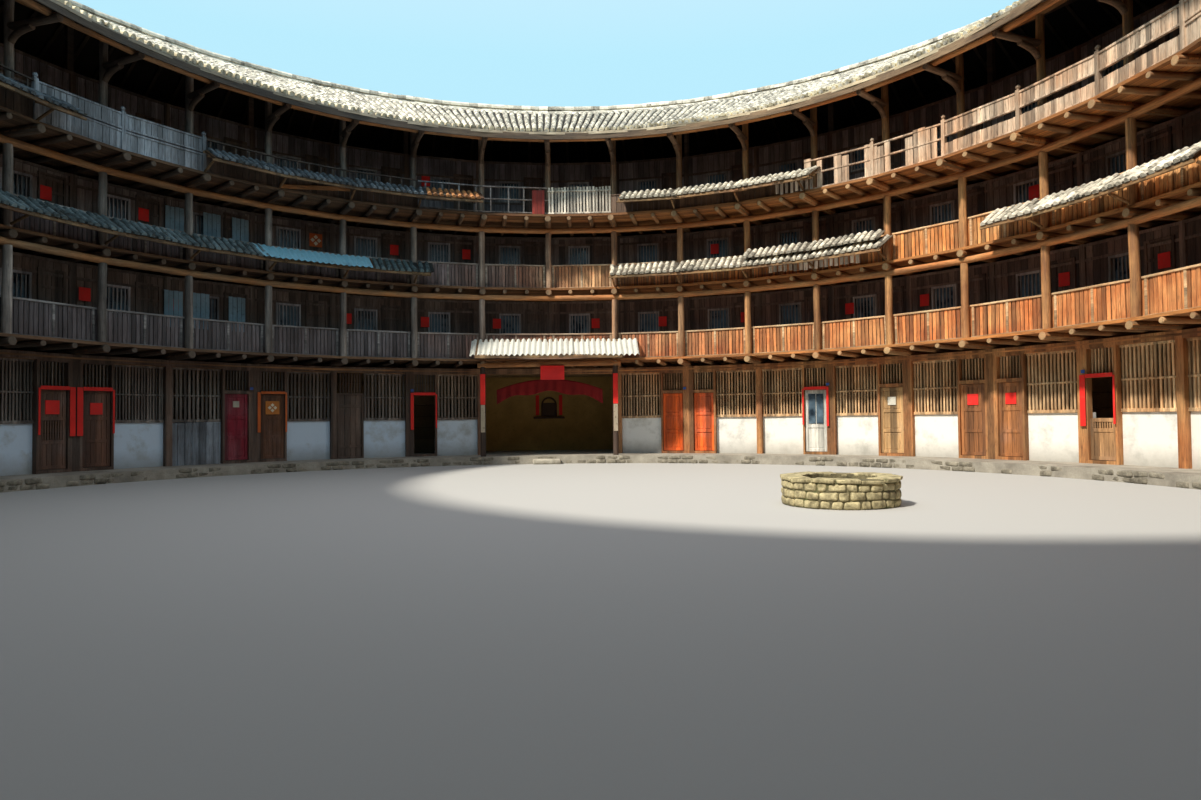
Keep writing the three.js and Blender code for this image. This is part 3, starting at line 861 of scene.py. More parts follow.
@once
def stone(name, pale, dark, moss=0.3, scale=4.0):
    """Weathered stone with moss in its low places."""
    made, tree, where = blank(name, 0.9)
    broad = noise(tree, where, scale, 5.0, 0.65)
    fine = noise(tree, where, 30.0, 3.0, 0.6)
    body = blended(tree, rescaled(tree, broad, 0.32, 0.68), dark, pale)
    body = blended(tree, rescaled(tree, fine, 0.4, 0.7, 0.0, 0.35), body, dark)
    relief = plus(tree, broad, times(tree, fine, 0.4))
    return shaded(made, growth(tree, where, body, "4a5228", moss), relief, 0.02)


@once
def paint(name, code, wear="7a6a5a", rough=0.7, amount=0.3):
    """Thin paint, paper or plaster in one colour, rubbed through in places."""
    made, tree, where = blank(name, rough)
    rub = rescaled(tree, noise(tree, where, 11.0, 5.0, 0.65), 0.55, 0.75, 0.0, amount)
    tone = rescaled(tree, noise(tree, where, 1.7, 3.0), 0.3, 0.7, 0.8, 1.1)
    body = brightened(tree, blended(tree, rub, code, wear), tone)
    return shaded(made, body, noise(tree, where, 40.0, 2.0), 0.002)


@once
def sheet_metal(name, code, rust=0.35):
    """Faded corrugated sheet with rust and dirt."""
    made, tree, where = blank(name, 0.55)
    broad = noise(tree, where, 1.2, 5.0, 0.65)
    colour = blended(tree, rescaled(tree, broad, 0.5, 0.75, 0.0, rust * 2), code, "6b4a30")
    speck = rescaled(tree, noise(tree, where, 14.0, 3.0), 0.62, 0.7, 0.0, 0.6)
    colour = blended(tree, speck, colour, "4a3a2c")
    return shaded(made, colour, broad, 0.004, rescaled(tree, broad, 0.3, 0.7, 0.4, 0.75))


@once
def pane():
    """A dusty window pane whose dark blue-grey paints the shade of the room behind it."""
    made, tree, where = blank("window_pane", 0.3)
    dust = rescaled(tree, noise(tree, where, 2.2, 4.0), 0.35, 0.7)
    # Dark blue-grey: painted shade of the room behind the glass; dust makes it paler.
    colour = blended(tree, dust, "1c2630", "5c7484")
    return shaded(made, colour, rough=rescaled(tree, dust, 0.0, 1.0, 0.15, 0.6))


RED = "ee241a"


def red_paper():
    return paint("red_strip", RED, "8c6a50", 0.75, 0.35)


# Settings


class RoofSettings(bpy.types.PropertyGroup):
    """Sizes of the tiled roofs."""

    inner_rows: IntProperty(
        name="Inner Rows", description="Rows of tiles to the courtyard", default=360, subtype="UNSIGNED"
    )
    outer_rows: IntProperty(
        name="Outer Rows", description="Rows of tiles to the outside", default=420, subtype="UNSIGNED"
    )
    inner_tiles: IntProperty(
        name="Inner Tiles", description="Tiles in a row to the courtyard", default=20, subtype="UNSIGNED"
    )
    outer_tiles: IntProperty(
        name="Outer Tiles", description="Tiles in a row to the outside", default=18, subtype="UNSIGNED"
    )
    cover: FloatProperty(
        name="Cover", description="Width of a cover tile as a share of a row", default=0.68, subtype="FACTOR"
    )
    rafters: IntProperty(name="Rafters", description="Rafters on each slope", default=144, subtype="UNSIGNED")


class TimberSettings(bpy.types.PropertyGroup):
    """Sizes of posts, logs, boards and bars."""

    post_radius: FloatProperty(
        name="Post", description="Radius of a gallery post", default=0.1, unit="LENGTH"
    )
    beam_radius: FloatProperty(
        name="Beam", description="Radius of a ring beam", default=0.088, unit="LENGTH"
    )
    joist_radius: FloatProperty(
        name="Joist", description="Radius of a joist at a post", default=0.1, unit="LENGTH"
    )
    thin_radius: FloatProperty(
        name="Thin Joist", description="Radius of a joist between", default=0.07, unit="LENGTH"
    )
    board_width: FloatProperty(
        name="Board", description="Width of a parapet board", default=0.11, unit="LENGTH"
    )
    bar_pitch: FloatProperty(
        name="Bar Pitch", description="From one kitchen bar to the next", default=0.1, unit="LENGTH"
    )
    settling: FloatProperty(
        name="Settling", description="How far old timber has moved", default=0.035, unit="LENGTH"
    )


class StageSettings(bpy.types.PropertyGroup):
    """Light, floor and view."""

    sun: FloatProperty(name="Sun", description="Strength of the sun", default=5.0, subtype="UNSIGNED")
    sky: FloatProperty(name="Sky", description="Strength of the sky", default=1.0, subtype="UNSIGNED")
    low_sky: FloatVectorProperty(
        name="Low Sky", description="Sky colour near the roofs", subtype="COLOR", default=(0.5, 0.85, 1.0)
    )
    high_sky: FloatVectorProperty(
        name="High Sky", description="Colour of the sky overhead", subtype="COLOR", default=(0.84, 0.9, 1.0)
    )
    floor_color: FloatVectorProperty(
        name="Floor Colour", description="Colour of the floor", subtype="COLOR", default=(0.47, 0.46, 0.43)
    )
    lens: FloatProperty(name="Lens", description="Focal length of the view", default=23.74, unit="CAMERA")


class HouseSettings(bpy.types.PropertyGroup):
    """All settings of the house."""

    roof: PointerProperty(type=RoofSettings)
    timber: PointerProperty(type=TimberSettings)
    stage: PointerProperty(type=StageSettings)


# Roof

CORRUGATION = 0.175
TILE_JUMBLE = (0.012, 0.015, 0.01)
TILE_TILT = math.radians(3)
TILE_SIDES = 10
RIDGE_TILES = 300
RAFTER = 0.09


def half_tile(width, length, upside=True):
    """A half-round tile along y, closed below."""
    cleared()
    bpy.ops.mesh.primitive_cylinder_add(vertices=TILE_SIDES, radius=width / 2, depth=length,
                                        rotation=(math.pi / 2, 0, 0))
    tile = seated()
    level = -0.15 * width if upside else -0.25 * width
    return cut_flat(tile, level, keep_above=upside)


def tile_row(low, high, count, width, lap=1.12):
    """A row of cover tiles from the low end of a slope to its high end, each end as (reach, height)."""
    run, rise = (high[0] - low[0]) / count, (high[1] - low[1]) / count
    tile = half_tile(width, math.hypot(run, rise) * lap)
    tile.rotation_euler = ((math.atan2(rise, abs(run)) - TILE_TILT) * (1 if run > 0 else -1), 0, 0)
    tile.location = (0, low[0] + run / 2, low[1] + rise / 2 + 0.02)
    seated()
    return arrayed(tile, count, (0, run, rise))


def widened(piece, reach):
    """Spreads a row as the ring grows, so that the gaps between rows stay alike."""
    for vertex in piece.data.vertices:
        vertex.co.x *= vertex.co.y / reach
    return piece


def cover_width(reach, rows):
    """The width of a cover tile where a row lies at some reach."""
    return math.tau * reach / rows * bpy.context.scene.round_house.roof.cover


def tiled_slope(low, high, tiles, rows, seed):
    narrow = min(low[0], high[0])
    row = widened(tile_row(low, high, tiles, cover_width(narrow, rows)), narrow)
    slope = swept(row, rows)
    jumbled(slope, rows * tiles, (0.008, 0.01, 0.007), seed)
    return aged(slope, 0.07, 2.6)


def eave_ends(reach, height, rows, outwards):
    """The doubled last tiles over an eave, with the tips of the channel tiles hanging between them."""
    side = 1 if outwards else -1
    width = cover_width(reach, rows)
    lid = half_tile(width * 1.15, 0.3)
    lid.rotation_euler = (side * -0.3, 0, 0)
    lid.location = (0, reach - side * 0.12, height + 0.1)
    seated()
    tip = half_tile(width * 1.5, 0.22, upside=False)
    half = math.pi / rows
    tip.rotation_euler = (side * -0.35, 0, -half)
    tip.location = (math.sin(half) * reach, math.cos(half) * (reach - side * 0.08), height + 0.1)
    only(tip)
    seated()
    ring = swept(joined([lid, tip]), rows)
    return aged(jumbled(ring, rows, TILE_JUMBLE, 5), 0.07, 2.6)


class BuildRoofTiles(bpy.types.Operator):
    """Lays cover tiles on both slopes, along the eaves and over the ridge"""

    bl_idname = "round_house.roof_tiles"
    bl_label = "Roof Tiles"

    def execute(self, context):
        roof = context.scene.round_house.roof
        dressed(["roof_inner_slope", "roof_outer_slope"], slope_finish())
        dressed(["roof_ridge"], roof_tile(320))
        inner_low, outer_low = (EAVE_R, roof_top(EAVE_R)), (OUTER_EAVE_R, roof_top(OUTER_EAVE_R))
        crown = RIDGE_R - 0.15
        inner = tiled_slope(inner_low, (crown, roof_top(crown)), roof.inner_tiles, roof.inner_rows, 2)
        finished(inner, "inner_cover_tiles", roof_tile(roof.inner_rows), "roof_tile")
        crown = RIDGE_R + 0.15
        outer = tiled_slope(outer_low, (crown, roof_top(crown)), roof.outer_tiles, roof.outer_rows, 3)
        finished(outer, "outer_cover_tiles", roof_tile(roof.outer_rows, "c4bcac", "5c554a"), "roof_tile")
        inner = eave_ends(EAVE_R, inner_low[1], roof.inner_rows, False)
        finished(inner, "inner_eave_tiles", roof_tile(roof.inner_rows, "e6d9b8", "948668", 0.25), "roof_tile")
        outer = eave_ends(OUTER_EAVE_R, outer_low[1], roof.outer_rows, True)
        finished(outer, "outer_eave_tiles", roof_tile(roof.outer_rows, "cec29f", "84785e", 0.25), "roof_tile")
        self.ridge()
        return {"FINISHED"}

    def ridge(self):
        """Two courses of tiles on the crown, bedded along the ring."""
        tile = half_tile(0.24, 0.34)
        tile.rotation_euler = (0, 0, math.pi / 2)
        tile.location = (0, RIDGE_R, head("roof_ridge") - 0.01)
        seated()
        ridge = jumbled(swept(tile, RIDGE_TILES), RIDGE_TILES, (0.01, 0.01, 0.008), 7)
        finished(aged(ridge, 0.06, 2.6), "ridge_tiles", roof_tile(RIDGE_TILES), "ridge_tile")


class BuildRoofTimber(bpy.types.Operator):
    """Puts rafters under both slopes and boards along the eave"""

    bl_idname = "round_house.roof_timber"
    bl_label = "Roof Timber"

    def execute(self, context):
        count = context.scene.round_house.roof.rafters
        dressed(["roof_frame"], timber("roof timber", "Lengthwise"))
        dressed(["eave_fascia"], timber("fascia", "Lengthwise", 2.4, 0.5, "Out"))
        for side, low in (("inner", EAVE_R + 0.06), ("outer", OUTER_EAVE_R - 0.1)):
            ends = [(0, r, roof_under(r) - 0.035) for r in (low, RIDGE_R)]
            rafters = aged(swept(strut(*ends, RAFTER, RAFTER, 0), count), 0.03)
            finished(rafters, f"{side}_rafters", timber("roof timber", "Outward"), "roof_timber")
        y = (EAVE_R - 0.065, EAVE_R - 0.02)
        half = math.pi * EAVE_R / len(BAY_LINES)
        lath = bar((-half, half), y, (EAVE_TOP - 0.045, EAVE_TOP + 0.04), 0.004)
        lath = aged(round_ring(lath, BAY_LINES), 0.03)
        finished(lath, "eave_lath", timber("eave", "Lengthwise", 2.2, 0.7), "eave_timber")
        return {"FINISHED"}


# Outer wall

WINDOW_BARS = (-0.085, 0, 0.085)
FOOTING_STONES = 320
HALF_GATE = math.radians(4.3)


class BuildOuterWall(bpy.types.Operator):
    """Finishes the earth wall, its windows, its stone footing and the gate's frame"""

    bl_idname = "round_house.outer_wall"
    bl_label = "Outer Wall"

    def execute(self, context):
        dressed([f"earth_wall_{side}" for side in ("north", "east", "south", "west")], rammed_earth())
        dressed(["gate_stone_frame"], stone("granite", "b0aca2", "7c786e", 0.12, 9.0))
        for floor, bearings in ((3, BAY_MIDDLES[::2]), (4, BAY_MIDDLES)):
            self.windows(floor, bearings)
        self.footing()
        return {"FINISHED"}

    def windows(self, floor, bearings):
        """A frame and three bars in each window of a row."""
        x, y = (-0.17, 0.17), (WALL_INNER_R + 0.55, WALL_INNER_R + 0.65)
        z = (FLOOR_TOP[floor] + 1.06, FLOOR_TOP[floor] + 1.56)
        surround = framed(x, y, z, 0.06)
        middle = (y[0] + 0.03, y[1] - 0.03)
        uprights = [bar((u - 0.015, u + 0.015), middle, z, 0.003) for u in WINDOW_BARS]
        window = round_ring(joined([surround, *uprights]), bearings)
        finished(window, f"outer_window_bars_{floor}", timber("kitchen"), "room_boards")

    def footing(self):
        """River stones standing a little proud of the wall's foot."""
        pebble = block((-0.18, 0.18), (-0.08, 0.08), (-0.11, 0.11))
        worked(pebble, "SUBSURF", levels=1, render_levels=1)
        pebble.data.transform(Matrix.Translation((0, WALL_OUTER_R - 0.02, 0)))
        courses = []
        for course in range(3):
            ring = swept(turned(pebble, course * 180 / FOOTING_STONES, 0.115 + course * 0.21), FOOTING_STONES)
            courses.append(jumbled(ring, FOOTING_STONES, (0.03, 0.03, 0.015), 30 + course))
        bpy.data.objects.remove(pebble)
        stones = aged(joined(courses), 0.05, 0.3)
        trim_near(stones, HALF_GATE)
        finished(stones, "footing_stones", stone("river_stone", "9c958a", "5e584e", 0.3, 6.0), "rammed_earth")


def trim_near(piece, half_angle):
    """Takes away what stands in front of the gate."""
    only(piece)
    bpy.ops.object.mode_set(mode="EDIT")
    bpy.ops.mesh.select_all(action="DESELECT")
    bpy.ops.object.mode_set(mode="OBJECT")
    for vertex in piece.data.vertices:
        vertex.select = vertex.co.y < 0 and abs(math.atan2(vertex.co.x, -vertex.co.y)) < half_angle
    bpy.ops.object.mode_set(mode="EDIT")
    bpy.ops.mesh.select_linked()
    bpy.ops.mesh.delete(type="VERT")
    bpy.ops.object.mode_set(mode="OBJECT")


# Courtyard edge and well


def rough_stone(x, y, z):
    """A rounded building stone by its spans."""
    piece = block(x, y, z)
    return smoothed(worked(piece, "BEVEL", width=min(piece.dimensions) * 0.28, segments=2))


class BuildPlinth(bpy.types.Operator):
    """Edges the plinth with rubble and lays a step before the hall"""

    bl_idname = "round_house.plinth"
    bl_label = "Plinth"

    def execute(self, context):
        dressed(["stone_plinth"], stone("worn_paving", "b4ac9c", "7d766a", 0.1, 1.5))
        edge, courses = PLINTH_INNER_R, []
        for course, (count, height) in enumerate(((230, 0.13), (190, 0.12))):
            half = math.pi * edge / count * 0.94
            low = course * 0.13
            piece = rough_stone((-half, half), (edge - 0.035, edge + 0.2), (low, low + height))
            courses.append(jumbled(swept(piece, count), count, (0.03, 0.025, 0.008), 40 + course))
        rubble = aged(joined(courses), 0.05, 0.35)
        finished(rubble, "plinth_rubble", stone("rubble", "a49b88", "544e42", 0.35, 5.0), "plinth_stone")
        step = rough_stone((-0.55, 0.35), (edge - 0.36, edge + 0.02), (0, 0.17))
        pale = stone("pale_step", "c8c0ae", "8c8474", 0.08, 5.0)
        finished(aged(step, 0.03, 0.4), "hall_step", pale, "plinth_stone")
        return {"FINISHED"}


WELL_CAPS = 15


class BuildWell(bpy.types.Operator):
    """Builds the well's curb of rubble in three courses with flat stones on top"""

    bl_idname = "round_house.well"
    bl_label = "Well"

    def execute(self, context):
        low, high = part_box("well_curb")
        middle = (low + high) / 2
        outer = (high.x - low.x) / 2
        dressed(["well_curb"], stone("well_core", "8a7f5c", "453f2c", 0.5, 8.0))
        rng = random.Random(4)
        made = []
        for course in range(3):
            bearing = rng.uniform(0, 20)
            while bearing < 350:
                width = rng.uniform(0.16, 0.3)
                turn = math.degrees(width / outer)
                z = (course * 0.135 + 0.005, course * 0.135 + 0.125)
                stone_cut = rough_stone((-width / 2, width / 2 - 0.02), (outer - 0.16, outer + 0.02), z)
                made.append(turned(stone_cut, bearing + turn / 2, rng.uniform(-0.004, 0.008)))
                bpy.data.objects.remove(stone_cut)
                bearing += turn
        width = math.tau * outer / WELL_CAPS * 0.95
        for cap in range(WELL_CAPS):
            stone_cut = rough_stone((-width / 2, width / 2), (outer - 0.33, outer + 0.035), (0.405, 0.46))
            bearing = cap * 360 / WELL_CAPS + rng.uniform(-1, 1)
            made.append(turned(stone_cut, bearing, rng.uniform(-0.01, 0.01)))
            bpy.data.objects.remove(stone_cut)
        curb = aged(joined(made), 0.06, 0.25)
        curb.data.transform(Matrix.Translation((middle.x, middle.y, 0)))
        finished(curb, "well_stones", stone("well_rubble", "dccd9e", "6a6044", 0.44, 7.0), "well_stone")
        return {"FINISHED"}


# Ground floor

# A doorway stands to one side of a post: (leaf, bearing of the post, side, kind)
LEAVES = (
    ("door_west_1", -60, -1, "slatted"),
    ("door_west_2", -60, 1, "planked"),
    ("door_west_3", -40, -1, "red"),
    ("door_west_4", -40, 1, "lozenge"),
    ("door_east_1", 20, -1, "orange"),
    ("door_east_2", 20, 1, "orange"),
    ("door_east_3", 40, -1, "white"),
    ("door_east_4", 50, -1, "tan"),
    ("door_east_5", 60, -1, "warm"),
    ("door_east_6", 60, 1, "warm"),
    ("half_gate_east", 70, 1, "half"),
)
OPEN_DOORWAY = (-20, 1)
SHUT_DOORWAYS = [(-30, 1)]
SHUT_DOORWAYS += [(-post, side) for post in (80, 100, 120, 140, 160) for side in (-1, 1)]
SHUT_DOORWAYS += [(post, side) for post in (90, 110, 130, 150) for side in (-1, 1)]
DOORWAY_OF_BAY = {post + side * 5: side for _, post, side, _ in LEAVES}
DOORWAY_OF_BAY[OPEN_DOORWAY[0] + 5] = 1
DOORWAY_OF_BAY.update({post + side * 5: side for post, side in SHUT_DOORWAYS})
KITCHEN_BAYS = [bay for bay in (signed(b) for b in BAY_MIDDLES) if 10 < abs(bay) < 170]
LATTICE_RAILS = ((1.47, 1.55), (2.2, 2.25), (2.96, 3.03))


def doorway_span(side, near, far):
    """A span along a bay by its distances from the post at one side."""
    return tuple(sorted(side * (distance - HALF_KITCHEN_BAY) for distance in (near, far)))


class BuildGroundFloor(bpy.types.Operator):
    """Puts bars over the dwarf walls, frames round the shut doors, and finishes the frame"""

    bl_idname = "round_house.ground_floor"
    bl_label = "Ground Floor"

    def execute(self, context):
        dressed(["ground_frame"], timber("kitchen"))
        dressed([f"kitchen_wall_{i}" for i in range(1, 11)], limewash())
        ends = [(x, mid_bay(KITCHEN_R), 3.115) for x in (-1.25, 1.25)]
        beam = aged(round_ring(log(*ends, 0.1), BAY_MIDDLES))
        finished(beam, "head_beam_logs", timber("beam", "Lengthwise", 2.4), "kitchen_timber")
        self.bars(context.scene.round_house.timber.bar_pitch)
        self.shut_doors()
        return {"FINISHED"}

    def bars(self, pitch):
        """A sill, a middle rail, a head rail and upright bars over each dwarf wall."""
        made = []
        y = (mid_bay(KITCHEN_R + 0.05), mid_bay(KITCHEN_R + 0.095))
        for bay in KITCHEN_BAYS:
            side = DOORWAY_OF_BAY.get(bay, 0)
            x = doorway_span(side, 0.95, 2 * HALF_KITCHEN_BAY - 0.08) if side else (-1.12, 1.12)
            rails = [bar(x, (y[0] - 0.025, y[1] + 0.05), z) for z in LATTICE_RAILS]
            wide = pitch * (0.8 if bay < -50 else 1.1 if bay < 0 else 1.0)
            uprights = boards(x, y, (1.5, 3.0), wide, int(bay) + 200, wide * 0.5, (0.006, 0.003, 0.0), 0)
            made.append(turned_in_place(joined([*rails, uprights, *self.light(side, y)]), bay))
        wood = timber("slats", "Upright", 0.1, 0.45)
        finished(aged(joined(made), 0.02), "kitchen_bars", wood, "kitchen_timber")
        cladding = boards((-1.15, 0.2), (y[0] - 0.075, y[0] - 0.05), (PLINTH_TOP, 1.46), 0.19, 12)
        cladding = turned_in_place(cladding, -45)
        finished(cladding, "dwarf_wall_boards", timber("top parapet", "Upright", 0.19, 0.3), "kitchen_timber")

    def light(self, side, y):
        """Bars in the light over a door."""
        if not side:
            return []
        x = doorway_span(side, DOOR_NEAR, DOOR_FAR)
        return [boards(x, y, (DOOR_HEAD + 0.1, 3.0), 0.09, 14, 0.055, (0.003, 0, 0), 0)]

    def shut_doors(self):
        """Framed boards over the doors that stay shut."""
        y = (mid_bay(KITCHEN_R + 0.02), mid_bay(KITCHEN_R + 0.082) - 0.002)
        for side, word in ((-1, "west"), (1, "east")):
            bays = [post + s * 5 for post, s in SHUT_DOORWAYS if s == side]
            x = doorway_span(side, DOOR_NEAR, DOOR_FAR)
            surround = framed(x, (y[0] - 0.06, y[1]), (PLINTH_TOP + 0.06, DOOR_HEAD), 0.06)
            leaf = boards(x, y, (PLINTH_TOP + 0.06, DOOR_HEAD), 0.175, 3)
            ledges = [bar(x, (y[0] - 0.025, y[0]), (z, z + 0.1)) for z in (0.6, 1.9)]
            lights = boards(x, y, (DOOR_HEAD + 0.06, 3.03), 0.09, 4, 0.05, (0, 0, 0), 0)
            door = aged(round_ring(joined([surround, leaf, lights, *ledges]), bays), 0.01)
            finished(door, f"shut_doors_{word}_of_post", timber("kitchen"), "door_old")


DOOR_LOOKS = {
    "slatted": ("old_door", "6a4c3c", "door_old"),
    "planked": ("brown_door", "6c4836", "door_old"),
    "warm": ("warm_door", "9c6438", "door_old"),
    "red": ("dark_red_door", "7a1526", "door_red"),
    "lozenge": ("lozenge_door", "6b4228", "door_old"),
    "orange": ("orange_door", "dc5c18", "door_orange"),
    "white": ("white_door", "dcd8cc", "door_white"),
    "tan": ("tan_door", "b08a5c", "door_tan"),
    "half": ("half_gate", "b4875a", "door_tan"),
}
LEAF_FACE = 13.7
LEAF_BACK = 13.74
STILE = 0.085
# Blank papers on leaves: (half a side, its middle below the leaf's head, colour)
DOOR_PAPERS = {
    "slatted": (0.17, 0.42, RED),
    "planked": (0.15, 0.45, RED),
    "warm": (0.15, 0.42, RED),
    "lozenge": (0.2, 0.4, "c9772c"),
    "red": (0.09, 0.3, "c7bda8"),
    "tan": (0.12, 0.4, "d8d2c2"),
}


class BuildDoors(bpy.types.Operator):
    """Builds the kitchen doors that swing, and what hangs on them and beside them"""

    bl_idname = "round_house.doors"
    bl_label = "Doors"

    def execute(self, context):
        for leaf, post_line, side, kind in LEAVES:
            self.leaf(leaf, post_line + side * 5, side, kind)
        self.strips()
        self.plates()
        return {"FINISHED"}

    def leaf(self, node, bay, side, kind):
        """One leaf, framed and filled as its kind asks."""
        name, code, slot = DOOR_LOOKS[kind]
        x = doorway_span(side, 0.196, 0.872)
        low, high = foot(node) + 0.008, head(node)
        high = high if kind == "half" else DOOR_HEAD - 0.008
        y = (LEAF_FACE, LEAF_BACK)
        inner = (x[0] + STILE, x[1] - STILE)
        rails = {"half": (low, high - 0.32, high - 0.08), "white": (low, low + 0.75, high - 0.09)}
        rails = rails.get(kind, (low, low + 0.62, low + 1.2, high - 0.09))
        parts = [bar(span, y, (low, high)) for span in ((x[0], inner[0]), (inner[1], x[1]))]
        parts += [bar(inner, (y[0] + 0.003, y[1] - 0.003), (z, z + 0.09), 0.004) for z in rails]
        fill = (y[0] + 0.018, y[1] - 0.006)
        tiers = list(zip(rails[:-1], rails[1:]))
        for index, (bottom, top) in enumerate(tiers):
            parts.append(self.fill(kind, index, len(tiers), inner, fill, (bottom + 0.08, top + 0.01)))
        door = turned_in_place(joined(parts), bay)
        finished(door, f"{node}_leaf", stained_wood(name, code), slot, node)
        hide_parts(node)
        self.papers(node, bay, kind, inner, low, high, slot)

    def fill(self, kind, index, tiers, x, y, z):
        """What fills one tier of a leaf."""
        slatted = (kind == "slatted" and index == 1) or (kind == "half" and index == tiers - 1)
        if slatted:
            return boards(x, y, z, 0.062, 2, 0.03, (0, 0, 0), 0)
        if kind in ("orange", "white", "red", "tan"):
            middle = (x[0] + x[1]) / 2
            panels = [bar((x[0], x[1]), (y[0] + 0.009, y[1]), z, 0.0)]
            panels += [bar((a + 0.03, b - 0.03), (y[0], y[1]), (z[0] + 0.04, z[1] - 0.04), 0.008)
                       for a, b in ((x[0], middle), (middle, x[1]))]
            return joined(panels)
        return boards(x, y, z, 0.13, 6, 0.008, (0, 0.002, 0), 0.002)

    def papers(self, node, bay, kind, x, low, high, slot):
        """Blank papers and panes on a leaf."""
        middle = (x[0] + x[1]) / 2
        if kind in DOOR_PAPERS:
            half, drop, code = DOOR_PAPERS[kind]
            z, y = high - drop, (LEAF_FACE - 0.003, LEAF_FACE + 0.022)
            sheet = bar((middle - half, middle + half), y, (z - half, z + half), 0.001)
            sheet = turned_in_place(sheet, bay)
            finished(sheet, f"{node}_paper", paint(f"paper_{code}", code), slot, node)
        if kind == "lozenge":
            pattern = turned_in_place(lozenges(middle, LEAF_FACE - 0.006, high - 0.4, 0.16), bay)
            finished(pattern, f"{node}_lozenges", paint("pale_paper", "eee0c4"), slot, node)
        if kind == "white":
            halves = [(x[0] + 0.02, middle - 0.015), (middle + 0.015, x[1] - 0.02)]
            y, z = (LEAF_FACE + 0.004, LEAF_FACE + 0.02), (low + 0.88, high - 0.12)
            glass = joined([bar(span, y, z, 0.002) for span in halves])
            finished(turned_in_place(glass, bay), f"{node}_panes", pane(), slot, node)

    def strip(self, post_line, side, y, near, near_z, far_z, cross_z):
        """Three blank strips round one doorway, by their heights."""
        spans = (
            (doorway_span(side, *near), near_z),
            (doorway_span(side, 0.885, 0.935), far_z),
            (doorway_span(side, DOOR_NEAR, DOOR_FAR), cross_z),
        )
        unit = joined([bar(x, y, z, 0.001) for x, z in spans])
        return turned_in_place(unit, post_line + side * 5)

    def strips(self):
        """Blank red strips on jambs and lintels, and orange ones at one door."""
        y = (mid_bay(STRIP_R) - 0.006, mid_bay(STRIP_R) + 0.002)
        doorways = ((-60, -1, 0.14), (-60, 1, 0.14), (-20, 1, 0.1), (40, -1, 0.07), (70, 1, 0.15))
        made = [self.strip(post_line, side, y, (0.17 - width, 0.17), (1.15, 2.38), (1.2, 2.34), (2.3, 2.395))
                for post_line, side, width in doorways]
        finished(joined(made), "jamb_strips", red_paper(), "kitchen_timber")
        orange = self.strip(-40, 1, y, (0.08, 0.165), (1.15, 2.36), (1.15, 2.36), (2.31, 2.385))
        finished(orange, "orange_strips", paint("orange_paper", "d0601e"), "kitchen_timber")

    def plates(self):
        """Blank blue plates beside some doors."""
        made = []
        y = (mid_bay(STRIP_R) - 0.008, mid_bay(STRIP_R) + 0.002)
        for post_line, side in ((-40, -1), (20, -1), (40, -1), (70, 1), (-20, 1)):
            x = doorway_span(side, 0.07, 0.17)
            made.append(turned_in_place(bar(x, y, (2.42, 2.5), 0.002), post_line + side * 5))
        blue = paint("blue_plate", "2a52a0", "8a8a8a", 0.4, 0.1)
        finished(joined(made), "blue_plates", blue, "kitchen_timber")


def lozenges(x, y, z, size):
    """Four pale lozenges of a traditional pattern, lying in a square."""
    half = size / 2
    made = []
    for across, up in ((-half, 0), (half, 0), (0, half), (0, -half)):
        piece = bar((-half * 0.5, half * 0.5), (y, y + 0.004), (-half * 0.5, half * 0.5), 0.001)
        place = Matrix.Translation((x + across, 0, z + up))
        piece.data.transform(place @ Matrix.Rotation(math.pi / 4, 4, "Y"))
        made.append(piece)
    return joined(made)


# Hall

HALL_POST_X = HALL_POST_R * math.sin(math.radians(BAY))
HALL_POST_Y = HALL_POST_R * math.cos(math.radians(BAY))
CANOPY_SHEETS = 10
CLOTH_HALF = 1.82


